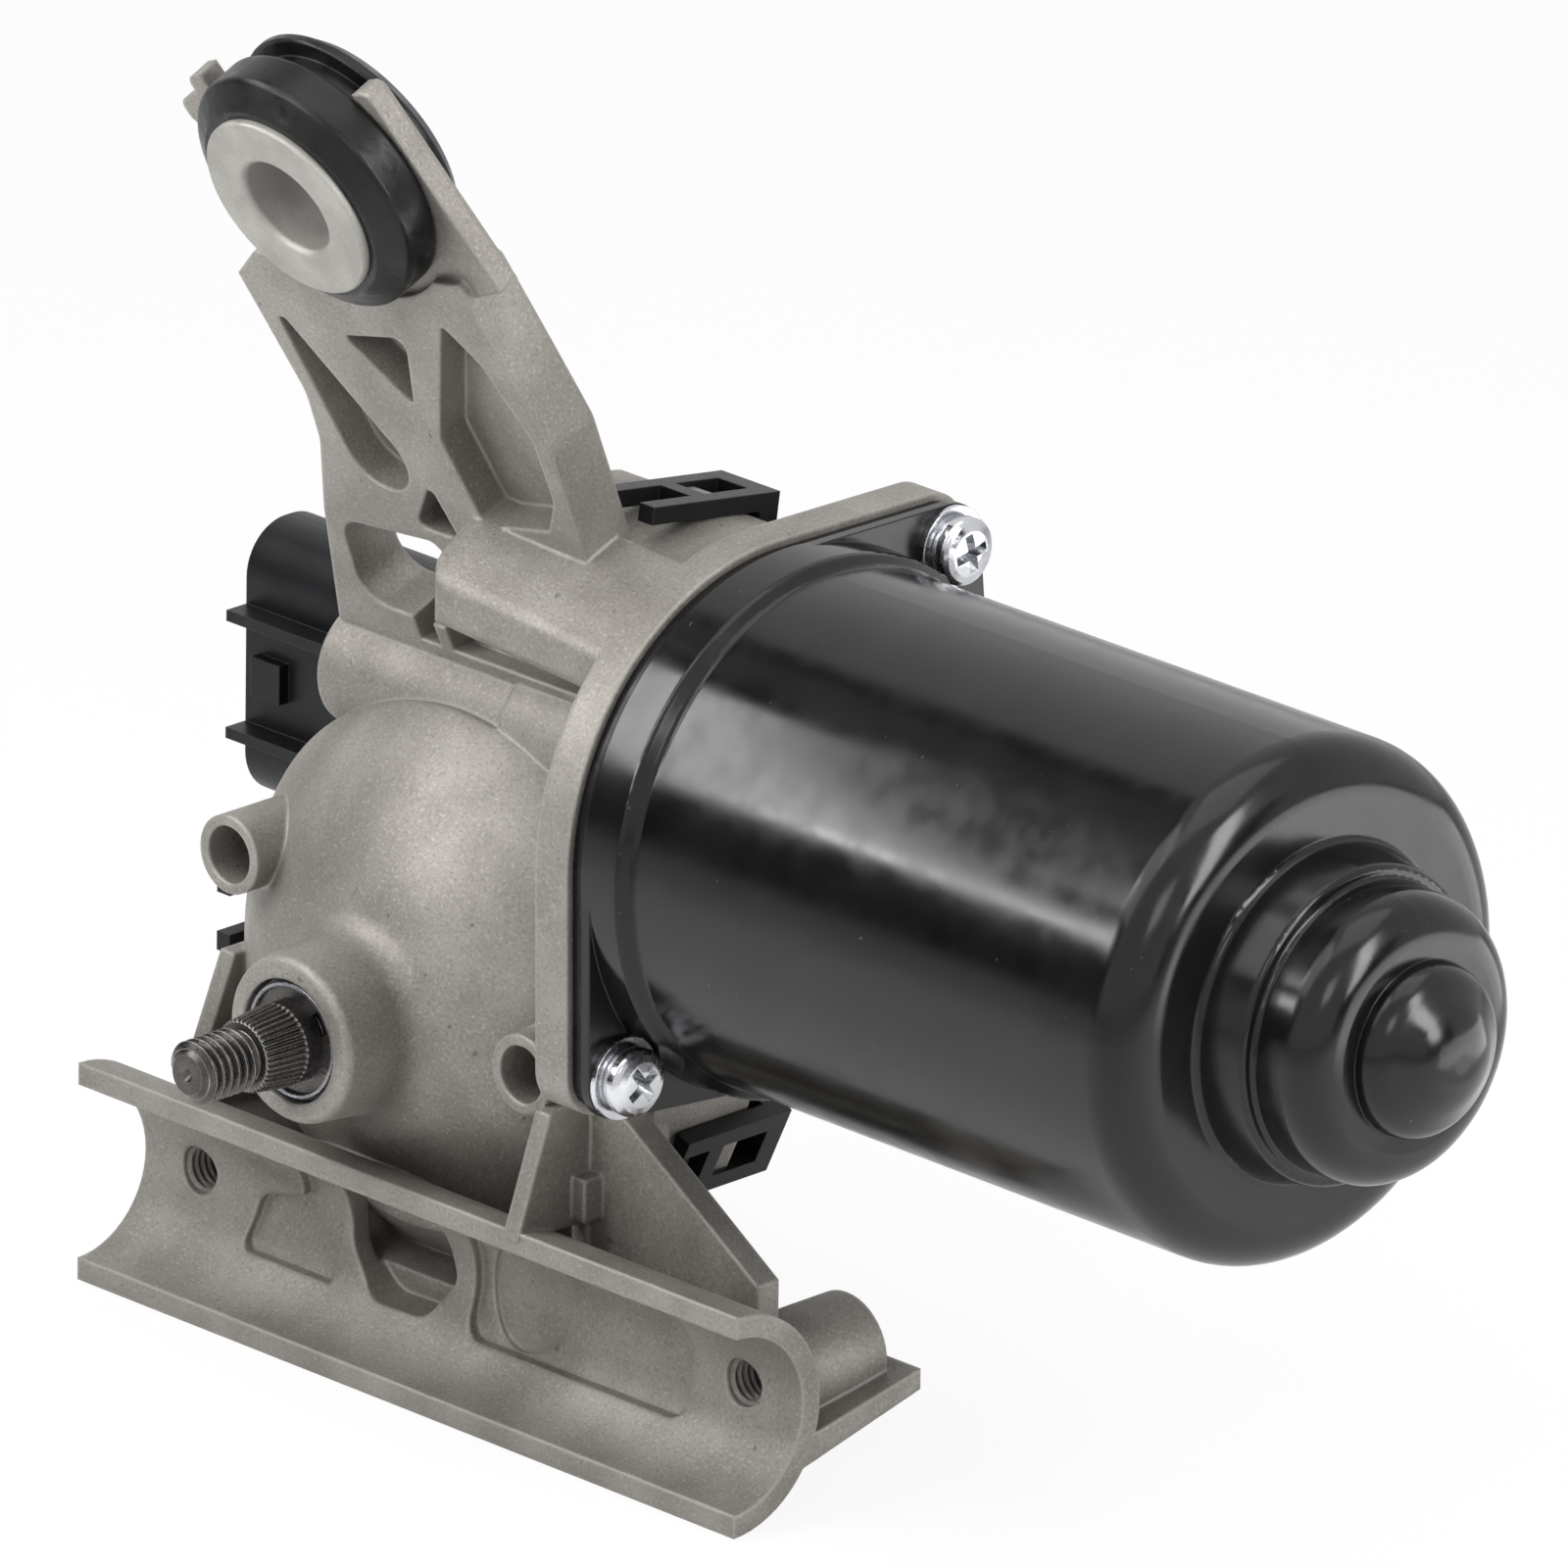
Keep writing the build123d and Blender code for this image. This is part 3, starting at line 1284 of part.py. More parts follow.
# Rubber mount in the arm's fork
def mount_solid(*corners):
    """Solid of revolution about the rubber mount's axis from (radius, height) corners."""
    face = Plane.XZ * outline(*corners)
    return arm_plane() * (Pos(mount_centre_x, mount_centre_t) * revolve(face, Axis.Z))


def rubber_grommet():
    """Rubber ring with a groove that takes the fork's plate."""
    front = rubber_front_height
    groove_front = -fork_front_depth + seat_gap
    groove_back = -fork_front_depth - fork_thickness - seat_gap
    back = groove_back - rubber_back_length
    neck = groove_radius - 2 * seat_gap
    rounds = rubber_rounds
    return mount_solid((sleeve_radius, front), (sleeve_flange_radius + rubber_lip, front, rounds[0]),
                       (rubber_front_radius, front - rubber_front_chamfer, rounds[1]),
                       (rubber_front_radius, groove_front, rounds[2]), (neck, groove_front),
                       (neck, groove_back), (rubber_back_radius, groove_back, rounds[3]),
                       (rubber_back_radius, back + rubber_back_chamfer, rounds[4]),
                       (rubber_back_radius - rubber_tail, back), (sleeve_radius, back))


def grommet_sleeve():
    """Flanged metal sleeve through the rubber."""
    front = rubber_front_height
    back = -fork_front_depth - fork_thickness - rubber_back_length
    return mount_solid((sleeve_bore, front + sleeve_flange_thickness, sleeve_rounds[0]),
                       (sleeve_flange_radius, front + sleeve_flange_thickness, sleeve_rounds[1]),
                       (sleeve_flange_radius, front), (sleeve_radius, front),
                       (sleeve_radius, back - sleeve_proud), (sleeve_bore, back - sleeve_proud))


makers = (gear_housing, rear_cover, cover_gasket, connector_terminals, park_contacts, motor_can,
          can_gasket, can_screws, screw_washers, field_magnets, magnet_springs, armature_shaft,
          armature_core, armature_windings, commutator, bearing_outer_race, bearing_inner_race,
          bearing_balls, bearing_retainer, worm_bush, worm_thrust_pad, rear_bush, bush_retainer,
          thrust_plug, brush_card, brush_holders, brushes, brush_springs, choke_coils, drive_wheel,
          contact_disc, output_shaft, shaft_bushes, retaining_ring, thrust_washer, front_shim,
          shaft_seal, rubber_grommet, grommet_sleeve)

os.makedirs("parts", exist_ok=True)
to_part_frame = Pos(-saddle_middle_x, -saddle_y, -saddle_z)
for maker in makers:
    made = maker()
    pieces = made if isinstance(made, list) else [made]
    solids = [solid for piece in pieces for solid in (to_part_frame * piece).solids()]
    node = solids[0] if len(solids) == 1 else Compound(children=solids)
    export_step(node, "parts/" + maker.__name__ + ".step")
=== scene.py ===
# %% [markdown]
# A wiper motor turns a fast, weak armature into a slow, strong output shaft. Its CAD model is
# already packed, so this lesson dresses it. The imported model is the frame: every solid stays
# where the CAD puts it and gets a real finish, and a few small parts are made again with the
# threads, knurls and cross recesses that the solids leave plain.

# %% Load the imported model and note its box
import json
from math import cos, pi, radians, sin

import bmesh
import bpy
from mathutils import Matrix, Vector


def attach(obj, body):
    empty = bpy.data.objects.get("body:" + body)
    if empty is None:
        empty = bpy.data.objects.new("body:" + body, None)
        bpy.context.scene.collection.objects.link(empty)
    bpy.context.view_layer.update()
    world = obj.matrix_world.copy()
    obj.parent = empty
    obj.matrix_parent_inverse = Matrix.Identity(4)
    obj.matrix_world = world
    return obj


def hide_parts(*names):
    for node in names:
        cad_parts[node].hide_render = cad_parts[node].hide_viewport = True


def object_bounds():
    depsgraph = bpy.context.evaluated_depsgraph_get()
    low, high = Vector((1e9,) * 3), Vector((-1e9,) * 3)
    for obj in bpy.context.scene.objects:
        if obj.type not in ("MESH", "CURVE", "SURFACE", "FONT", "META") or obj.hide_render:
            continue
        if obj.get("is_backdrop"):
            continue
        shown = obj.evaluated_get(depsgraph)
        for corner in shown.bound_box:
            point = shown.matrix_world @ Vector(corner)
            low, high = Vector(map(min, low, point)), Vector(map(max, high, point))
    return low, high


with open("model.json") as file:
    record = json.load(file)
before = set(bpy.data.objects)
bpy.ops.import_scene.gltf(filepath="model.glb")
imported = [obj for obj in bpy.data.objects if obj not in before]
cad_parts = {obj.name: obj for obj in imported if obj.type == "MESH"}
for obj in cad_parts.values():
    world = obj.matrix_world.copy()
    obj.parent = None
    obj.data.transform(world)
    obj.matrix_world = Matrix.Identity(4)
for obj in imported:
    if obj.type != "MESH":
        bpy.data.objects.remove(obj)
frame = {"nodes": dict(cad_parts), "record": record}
nodes = frame["nodes"]
cad_box = [list(corner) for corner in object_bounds()]
MM = 0.001
print("nodes", len(nodes), "box in mm", [[round(v / MM, 1) for v in corner] for corner in cad_box])

# %% [markdown]
# Places come from the CAD model. The motor's axis runs along X. The output shaft points along
# -Y, below the motor. These few points are used again and again, so they are named once. A
# place is written in millimetres, and one helper turns it into metres.

# %% Places on the motor, in metres
def mm(x, y, z):
    return Vector((x, y, z)) * MM


def show(thing):
    bpy.context.scene.collection.objects.link(thing)
    return thing


MOTOR_AXIS = mm(30.4, 30.0, 62.5)
OUTPUT_AXIS = mm(-14.1, 30.0, 30.0)
SCREWS = [MOTOR_AXIS + mm(0.0, -27.6, -25.4), MOTOR_AXIS + mm(0.0, 25.4, 27.6)]
print("output axis", [round(v, 4) for v in OUTPUT_AXIS])

# %% [markdown]
# The photograph was taken from the front right and a little above, with a long lens, so that
# parallel edges stay nearly parallel. The camera here stands three metres away, and its lens
# is long enough to give the photograph's 8.7 pixels to the millimetre. The motor's axis meets
# the flange at a known pixel, and that sets how far aside the camera stands.

# %% Camera at the photograph's angle
TURN, RISE, ROLL = radians(45.0), radians(20.5), radians(0.9)
DISTANCE, FILM_MM, FAR_CLIP = 3.0, 36.0, 20.0
PHOTO_WIDTH, PIXELS_PER_MM = 1600, 8.7
AXIS_ACROSS, AXIS_DOWN = 787.5, 826.2
CENTRE = PHOTO_WIDTH / 2
back = Vector((sin(TURN) * cos(RISE), -cos(TURN) * cos(RISE), sin(RISE)))
flat_right = Vector((cos(TURN), sin(TURN), 0.0))
flat_up = back.cross(flat_right)
right = cos(ROLL) * flat_right + sin(ROLL) * flat_up
up = cos(ROLL) * flat_up - sin(ROLL) * flat_right
aside = Vector(((AXIS_ACROSS - CENTRE) / PIXELS_PER_MM, -(AXIS_DOWN - CENTRE) / PIXELS_PER_MM)) * MM
eye = MOTOR_AXIS - aside.x * right - aside.y * up + DISTANCE * back
lens = bpy.data.cameras.new("camera")
lens.sensor_width = FILM_MM
lens.lens = FILM_MM * PIXELS_PER_MM * DISTANCE / MM / PHOTO_WIDTH
lens.clip_end = FAR_CLIP
camera = show(bpy.data.objects.new("camera", lens))
camera.matrix_world = Matrix.Translation(eye) @ Matrix((right, up, back)).transposed().to_4x4()
bpy.context.scene.camera = camera
bpy.context.scene.view_settings.view_transform = "Standard"
print("lens in mm", round(lens.lens, 1))

# %% [markdown]
# One small function adds a node. It takes the kind of node, what goes into its sockets, and
# its settings. A value that is itself a socket is linked, and any other value is set. Colours
# are written as the hex values that a painter would pick, and turned to the linear light that
# the shader works in.

# %% Two helpers for node trees
def add(tree, kind, sockets=None, **settings):
    node = tree.nodes.new(kind)
    for name, value in settings.items():
        setattr(node, name, value)
    for name, value in (sockets or {}).items():
        if isinstance(value, bpy.types.NodeSocket):
            tree.links.new(value, node.inputs[name])
        else:
            node.inputs[name].default_value = value
    return node


def linear(hex_colour):
    parts = [int(hex_colour[i:i + 2], 16) / 255 for i in (0, 2, 4)]
    return [p / 12.92 if p <= 0.04045 else ((p + 0.055) / 1.055) ** 2.4 for p in parts] + [1.0]


print("mid grey in linear light", round(linear("808080")[0], 3))

# %% [markdown]
# Every finish starts the same way: a shader with its own share of metal, the place on the
# piece in millimetres, and a normal that is softened at the edges, since no real edge is
# perfectly sharp. Patterns are then sized in millimetres too, as on the real surface. A
# pattern is a noise, and only the middle of its range is used, where it changes most.

# %% A base for all finishes
EDGE_SAMPLES = 6
NOISE_LOW, NOISE_HIGH = 0.35, 0.65


def new_finish(name, metal, soft_mm, **shader_values):
    material = bpy.data.materials.new(name)
    material.use_nodes = True
    tree = material.node_tree
    shader = tree.nodes["Principled BSDF"]
    shader.inputs["Metallic"].default_value = metal
    for socket, value in shader_values.items():
        shader.inputs[socket.replace("_", " ")].default_value = value
    where = add(tree, "ShaderNodeTexCoord").outputs["Object"]
    place = add(tree, "ShaderNodeVectorMath", {0: where, "Scale": 1 / MM}, operation="SCALE")
    soft = add(tree, "ShaderNodeBevel", {"Radius": soft_mm * MM}, samples=EDGE_SAMPLES)
    return material, tree, shader, place.outputs["Vector"], soft.outputs["Normal"]


finishes = {}
print("edges are softened with", EDGE_SAMPLES, "samples")

# %% [markdown]
# Three things make a plain colour into a surface. Patches of a second colour show through in
# places. Edges that stand out turn paler, a painted highlight with some wear, and the angle
# between the true normal and the softened one finds them. And a fine grain changes the gloss
# and the relief together.

# %% Patches, painted edge highlights with wear, and grain
SHARP_EDGE, FLAT_FACE = 0.80, 0.985


def patches(tree, place, below, above, size_mm, low=0.0, high=1.0,
            detail=2.0, start=NOISE_LOW, stop=NOISE_HIGH):
    noise = add(tree, "ShaderNodeTexNoise", {
        "Vector": place, "Scale": 1 / size_mm, "Detail": detail}).outputs["Fac"]
    amount = add(tree, "ShaderNodeMapRange", {
        "Value": noise, "From Min": start, "From Max": stop, "To Min": low, "To Max": high})
    return add(tree, "ShaderNodeMix", {
        0: amount.outputs["Result"], 6: below, 7: linear(above)}, data_type="RGBA").outputs[2]


# A paler colour on edges, which is a painted highlight with some wear.
def rubbed_edges(tree, soft, below, above, most=1.0, start=0.0):
    exact = add(tree, "ShaderNodeNewGeometry").outputs["Normal"]
    facing = add(tree, "ShaderNodeVectorMath", {0: soft, 1: exact}, operation="DOT_PRODUCT")
    worn_and_lit = add(tree, "ShaderNodeMapRange", {
        "Value": facing.outputs["Value"], "From Min": SHARP_EDGE, "From Max": FLAT_FACE,
        "To Min": 1.0, "To Max": 0.0})
    amount = add(tree, "ShaderNodeMapRange", {
        "Value": worn_and_lit.outputs["Result"], "From Min": start, "From Max": 1.0,
        "To Min": 0.0, "To Max": most})
    return add(tree, "ShaderNodeMix", {
        0: amount.outputs["Result"], 6: below, 7: linear(above)}, data_type="RGBA").outputs[2]


def grain(tree, shader, place, soft, size_mm, smoothest, roughest, depth_mm, detail=2.0):
    noise = add(tree, "ShaderNodeTexNoise", {
        "Vector": place, "Scale": 1 / size_mm, "Detail": detail}).outputs["Fac"]
    gloss = add(tree, "ShaderNodeMapRange", {
        "Value": noise, "From Min": NOISE_LOW, "From Max": NOISE_HIGH,
        "To Min": smoothest, "To Max": roughest})
    relief = add(tree, "ShaderNodeBump", {
        "Height": noise, "Distance": depth_mm * MM, "Strength": 1.0, "Normal": soft})
    tree.links.new(gloss.outputs["Result"], shader.inputs["Roughness"])
    tree.links.new(relief.outputs["Normal"], shader.inputs["Normal"])


print("edges count as rubbed below a cosine of", FLAT_FACE)

# %% [markdown]
# The gear housing is die-cast aluminium, blasted with fine beads. That gives the eye an even,
# warm grey with a fine sparkle, here painted as bright glints and dark specks of shade, a few
# pores painted as dark spots of shade, and paler lines on edges, a painted highlight with some
# wear from handling. Bead marks are about 0.1 mm wide, too fine to show, so they are drawn at
# 0.3 to 0.4 mm. The blasted skin scatters much of its light, so it is only part metal.

# %% Blasted die-cast aluminium
CLOUD_MM, BEAD_SHADE_AND_GLINT_MM, PORE_SHADE_MM, GRAIN_MM, GRAIN_DEPTH_MM = 12.0, 0.42, 1.7, 0.28, 0.045
material, tree, shader, place, soft = new_finish("blasted_cast_aluminium", 0.45, 0.9)
colour = patches(tree, place, linear("7B7771"), "908C86", CLOUD_MM, detail=4.0)
# Bead marks as painted shade and painted glints: dark specks first, then bright ones.
colour = patches(tree, place, colour, "55524E", BEAD_SHADE_AND_GLINT_MM, high=0.30, start=0.56, stop=0.66)
colour = patches(tree, place, colour, "BDBBB6", BEAD_SHADE_AND_GLINT_MM, 0.28, 0.0, start=0.30, stop=0.42)
# Pores, painted as dark spots of shade.
colour = patches(
    tree, place, colour, "4A4642", PORE_SHADE_MM, high=0.6, detail=1.0, start=0.77, stop=0.80)
# Paler edges: a painted highlight with some wear from handling.
colour = rubbed_edges(tree, soft, colour, "C6C4BF", most=0.4, start=0.1)
tree.links.new(colour, shader.inputs["Base Color"])
grain(tree, shader, place, soft, GRAIN_MM, 0.44, 0.60, GRAIN_DEPTH_MM, detail=3.0)
finishes["cast_aluminium"] = material
print("made", material.name)

# %% [markdown]
# The can is drawn from sheet steel and powder painted black. Paint flows a little before it
# hardens, so its reflections wander over a few millimetres, like orange peel, and its gloss
# comes and goes. A few dust nibs break the gloss.

# %% Gloss black paint on drawn steel
PEEL_MM, PEEL_DEPTH_MM, GLOSS_MM, SHADE_MM, NIB_MM = 6.0, 0.004, 4.0, 9.0, 0.6
material, tree, shader, place, soft = new_finish(
    "gloss_black_paint", 0.0, 0.35, Specular_IOR_Level=0.34)
colour = patches(tree, place, linear("0B0B0C"), "131314", SHADE_MM)
# Dust nibs.
colour = patches(
    tree, place, colour, "5A5A5C", NIB_MM, high=0.5, detail=0.0, start=0.86, stop=0.89)
tree.links.new(colour, shader.inputs["Base Color"])
noise = add(tree, "ShaderNodeTexNoise", {"Vector": place, "Scale": 1 / GLOSS_MM, "Detail": 2.0})
gloss = add(tree, "ShaderNodeMapRange", {
    "Value": noise.outputs["Fac"], "From Min": NOISE_LOW, "From Max": NOISE_HIGH,
    "To Min": 0.15, "To Max": 0.21})
tree.links.new(gloss.outputs["Result"], shader.inputs["Roughness"])
peel = add(tree, "ShaderNodeTexNoise", {"Vector": place, "Scale": 1 / PEEL_MM, "Detail": 0.5})
relief = add(tree, "ShaderNodeBump", {
    "Height": peel.outputs["Fac"], "Distance": PEEL_DEPTH_MM * MM, "Strength": 1.0, "Normal": soft})
tree.links.new(relief.outputs["Normal"], shader.inputs["Normal"])
finishes["black_steel"] = material
print("made", material.name)

# %% [markdown]
# Moulded and pressed parts differ in sheen. The cover is filled nylon, nearly black with a
# satin skin. The mount and the seals are rubber, blacker still, with slow dents and a soft
# shine. Inside, phenolic board is red-brown, natural nylon is creamy, and carbon and ferrite
# are dull greys. A mould's grain is finer than 0.1 mm, so it is drawn at 0.2 to 0.4 mm.

# %% Satin nylon, rubber, board, carbon and ferrite
MOULDING_CLOUD_MM, SHEEN_SPREAD = 6.0, 0.06


def plain_moulding(name, dark, light, rough, grain_mm, depth_mm, soft_mm=0.25, **values):
    material, tree, shader, place, soft = new_finish(name, 0.0, soft_mm, **values)
    colour = patches(tree, place, linear(dark), light, MOULDING_CLOUD_MM, detail=3.0)
    # Paler edges: a painted highlight with some wear.
    colour = rubbed_edges(tree, soft, colour, "6A6A6A", most=0.25)
    tree.links.new(colour, shader.inputs["Base Color"])
    smoothest, roughest = rough - SHEEN_SPREAD, rough + SHEEN_SPREAD
    grain(tree, shader, place, soft, grain_mm, smoothest, roughest, depth_mm)
    return material


finishes["black_plastic"] = plain_moulding(
    "satin_black_nylon", "0F1011", "151618", 0.40, 0.25, 0.012, Specular_IOR_Level=0.24)
finishes["black_rubber"] = plain_moulding(
    "moulded_rubber", "0A0A0B", "111112", 0.32, 2.2, 0.07, 0.4, Specular_IOR_Level=0.27)
finishes["phenolic_board"] = plain_moulding("phenolic_board", "4A2C17", "5B3820", 0.55, 0.3, 0.01)
finishes["natural_nylon"] = plain_moulding("natural_nylon", "CFC7AE", "DAD3BD", 0.42, 0.4, 0.01)
finishes["carbon"] = plain_moulding("pressed_carbon", "17171A", "232326", 0.60, 0.2, 0.02)
finishes["ferrite"] = plain_moulding("sintered_ferrite", "2A2A2D", "37373A", 0.62, 0.3, 0.03)
print("finishes so far", len(finishes))

# %% [markdown]
# Bare and plated metals share one recipe: metal, a slow cloud in its colour, and fine
# scratches or pits that change its gloss, drawn wider than they are so that they show. Zinc
# plate is bright and a little blue. The mount's sleeve is plated matt and pale. Phosphated
# steel is a dark, oily brown-black, its crests paler with wear and a painted highlight.
# Copper and bronze are warm, and sintered bronze, which holds oil in its pores, is the dullest of
# them.

# %% Plated, ground, sintered and wound metals
METAL_CLOUD_MM, GLOSS_SPREAD = 5.0, 0.08


def bare_metal(name, dark, light, rough, grain_mm, depth_mm, metal=1.0, soft_mm=0.2, rubbed_and_lit=None):
    material, tree, shader, place, soft = new_finish(name, metal, soft_mm)
    colour = patches(tree, place, linear(dark), light, METAL_CLOUD_MM, detail=3.0)
    # Paler crests and edges: a painted highlight with some wear.
    if rubbed_and_lit:
        colour = rubbed_edges(tree, soft, colour, rubbed_and_lit)
    tree.links.new(colour, shader.inputs["Base Color"])
    smoothest, roughest = rough - GLOSS_SPREAD, rough + GLOSS_SPREAD
    grain(tree, shader, place, soft, grain_mm, smoothest, roughest, depth_mm)
    return material


for slot, name, dark, light, rough, grain_mm, depth_mm in (
        ("zinc_steel", "bright_zinc_plate", "B9BABE", "CDCED1", 0.20, 0.6, 0.0015),
        ("spring_steel", "rolled_spring_steel", "77777A", "8C8C90", 0.30, 0.5, 0.008),
        ("ground_steel", "ground_steel", "A9A9AD", "BDBDC0", 0.20, 0.3, 0.005),
        ("lamination_steel", "punched_laminations", "55565A", "6C6D71", 0.42, 0.35, 0.02),
        ("enamelled_copper", "enamelled_copper_wire", "7A3216", "96431F", 0.28, 0.4, 0.02),
        ("bare_copper", "turned_copper", "B8704B", "CC8560", 0.28, 0.3, 0.008),
        ("sintered_bronze", "sintered_bronze", "7A5F3A", "927446", 0.48, 0.25, 0.03),
        ("spring_bronze", "spring_bronze", "B58A55", "C69B66", 0.28, 0.4, 0.008),
        ("tinned_brass", "tinned_brass", "BDBBB4", "CFCDC6", 0.30, 0.4, 0.008)):
    finishes[slot] = bare_metal(name, dark, light, rough, grain_mm, depth_mm)
finishes["sleeve_steel"] = bare_metal(
    "matt_plated_steel", "96948F", "A5A39E", 0.56, 0.35, 0.012, metal=0.62)
finishes["phosphated_steel"] = bare_metal(
    "oiled_phosphate", "403E3D", "5B5856", 0.32, 0.3, 0.02, metal=0.85, soft_mm=0.16,
    rubbed_and_lit="BAB7B4")
print("made", len(finishes), "finishes")

# %% [markdown]
# The record says which finish each CAD node takes. Its mesh is left as it is, and only its
# material slot changes.

# %% Give each CAD node its finish
for row in frame["record"]["subparts"]:
    mesh = nodes[row["node"]].data
    mesh.materials.clear()
    mesh.materials.append(finishes[row["material_slot"]])

# %% [markdown]
# A thread is one ridge that climbs round a core. Here a Geometry Nodes tree makes it: a spiral
# curve follows the helix, and a small trapezoid is swept along it. The same tree makes the
# threads of the screws and, turned inside out, of the tapped holes. Its inputs are real sizes in
# metres. The ridge fades at its two ends, as a rolled thread does.

# %% A Geometry Nodes tree that sweeps a helix
POINTS_PER_TURN = 40
FADE_FROM, FADE_TO, END_SHARE = 0.47, 0.5, 0.25


def helix_tree():
    tree = bpy.data.node_groups.new("helix_sweep", "GeometryNodeTree")
    tree.interface.new_socket("Geometry", in_out="OUTPUT", socket_type="NodeSocketGeometry")
    for name in ("Radius", "Pitch", "Turns", "Foot", "Crest", "Depth"):
        tree.interface.new_socket(name, in_out="INPUT", socket_type="NodeSocketFloat")
    tree.interface.new_socket("Finish", in_out="INPUT", socket_type="NodeSocketMaterial")
    given = add(tree, "NodeGroupInput").outputs
    height = add(tree, "ShaderNodeMath", {
        0: given["Pitch"], 1: given["Turns"]}, operation="MULTIPLY")
    spiral = add(tree, "GeometryNodeCurveSpiral", {
        "Resolution": POINTS_PER_TURN, "Rotations": given["Turns"],
        "Start Radius": given["Radius"], "End Radius": given["Radius"],
        "Height": height.outputs[0], "Reverse": True})
    upright = add(tree, "GeometryNodeSetCurveNormal", {"Curve": spiral.outputs[0]}, mode="Z_UP")
    # The ridge grows from a quarter of its size to the whole within 3% of its length.
    along = add(tree, "GeometryNodeSplineParameter").outputs["Factor"]
    middle = add(tree, "ShaderNodeMath", {0: along, 1: 0.5}, operation="SUBTRACT")
    from_middle = add(tree, "ShaderNodeMath", {0: middle.outputs[0]}, operation="ABSOLUTE")
    fade = add(tree, "ShaderNodeMapRange", {
        "Value": from_middle.outputs[0], "From Min": FADE_FROM, "From Max": FADE_TO,
        "To Min": 1.0, "To Max": END_SHARE})
    # The trapezoid has a wide foot on the core and a narrow crest.
    profile = add(tree, "GeometryNodeCurvePrimitiveQuadrilateral", mode="POINTS")
    corners = (("Foot", -0.5, 0.0), ("Foot", 0.5, 0.0),
               ("Crest", 0.5, given["Depth"]), ("Crest", -0.5, given["Depth"]))
    for number, (width, half, depth) in enumerate(corners, 1):
        wide = add(tree, "ShaderNodeMath", {0: given[width], 1: half}, operation="MULTIPLY")
        point = add(tree, "ShaderNodeCombineXYZ", {"X": depth, "Y": wide.outputs[0]})
        tree.links.new(point.outputs[0], profile.inputs["Point " + str(number)])
    sweep = add(tree, "GeometryNodeCurveToMesh", {
        "Curve": upright.outputs[0], "Profile Curve": profile.outputs[0],
        "Scale": fade.outputs[0], "Fill Caps": True})
    flat = add(tree, "GeometryNodeSetShadeSmooth", {
        "Geometry": sweep.outputs[0], "Shade Smooth": False})
    real = add(tree, "GeometryNodeRealizeInstances", {"Geometry": flat.outputs[0]})
    dressed = add(tree, "GeometryNodeSetMaterial", {
        "Geometry": real.outputs[0], "Material": given["Finish"]})
    add(tree, "NodeGroupOutput", {"Geometry": dressed.outputs[0]})
    return tree


HELIX = helix_tree()
print("helix tree has", len(HELIX.nodes), "nodes")

# %% [markdown]
# A tree only lives on an object, as a modifier. So an empty object grows the thread, the result
# is taken off as a plain mesh, and the empty object goes. The sizes of a thread are given in
# millimetres: the radius of its core, its pitch, the widths of the ridge at its foot and its
# crest, and its depth.

# %% Grow a thread as a plain mesh
def thread(placement, finish, turns, **sizes_mm):
    sizes = {name.capitalize(): size * MM for name, size in sizes_mm.items()}
    sizes.update(Turns=turns, Finish=finishes[finish])
    seed = show(bpy.data.objects.new("seed", bpy.data.meshes.new("seed")))
    modifier = seed.modifiers.new("grow", "NODES")
    modifier.node_group = HELIX
    for socket in HELIX.interface.items_tree:
        if socket.in_out == "INPUT":
            modifier[socket.identifier] = sizes[socket.name]
    seed.data.update()
    depsgraph = bpy.context.evaluated_depsgraph_get()
    mesh = bpy.data.meshes.new_from_object(seed.evaluated_get(depsgraph))
    bpy.data.objects.remove(seed)
    mesh.transform(placement)
    return mesh


print("the tree takes", len(HELIX.interface.items_tree) - 1, "sizes and finishes")

# %% [markdown]
# Round parts are turned on a lathe, and a lathe is also the easy way to make them here: a list
# of radius and height points is spun about an axis. Points that lie close together make a small
# chamfer, which catches the light as a machined edge does. A rod is closed by a face at each
# end, and a ring by joining its last row to its first.

# %% A lathe in mesh code
def bridge(bm, low, high):
    for k in range(len(low)):
        n = (k + 1) % len(low)
        bm.faces.new((low[k], low[n], high[n], high[k]))


def turned(bm, profile, steps, placement, ripple=None):
    rings = []
    for radius, height in profile:
        ring = []
        for k in range(steps):
            angle = 2 * pi * k / steps
            r = radius + (ripple(angle, height) if ripple else 0.0)
            point = Vector((r * cos(angle) * MM, r * sin(angle) * MM, height * MM))
            ring.append(bm.verts.new(placement @ point))
        rings.append(ring)
    for low, high in zip(rings, rings[1:]):
        bridge(bm, low, high)
    return rings


def turned_rod(bm, profile, steps, placement, ripple=None):
    rings = turned(bm, profile, steps, placement, ripple)
    bm.faces.new(rings[0])
    bm.faces.new(rings[-1])


def turned_ring(bm, profile, steps, placement):
    rings = turned(bm, profile, steps, placement)
    bridge(bm, rings[-1], rings[0])


FRONT = Matrix(((-1, 0, 0), (0, 0, -1), (0, -1, 0))).to_4x4()
ALONG_X = Matrix(((0, 0, 1), (1, 0, 0), (0, 1, 0))).to_4x4()
ALONG_Y = Matrix(((0, 1, 0), (0, 0, 1), (1, 0, 0))).to_4x4()
print("the lathe's axis turns to", [round(v) for v in FRONT @ Vector((0, 0, 1))], "for the front")

# %% [markdown]
# A finished mesh becomes a piece here. Its normals are made to point outwards, it takes its
# finish, and it rides on the body that carries it.

# %% From mesh to piece
def as_mesh(name, bm):
    bmesh.ops.recalc_face_normals(bm, faces=bm.faces)
    mesh = bpy.data.meshes.new(name)
    bm.to_mesh(mesh)
    bm.free()
    return mesh


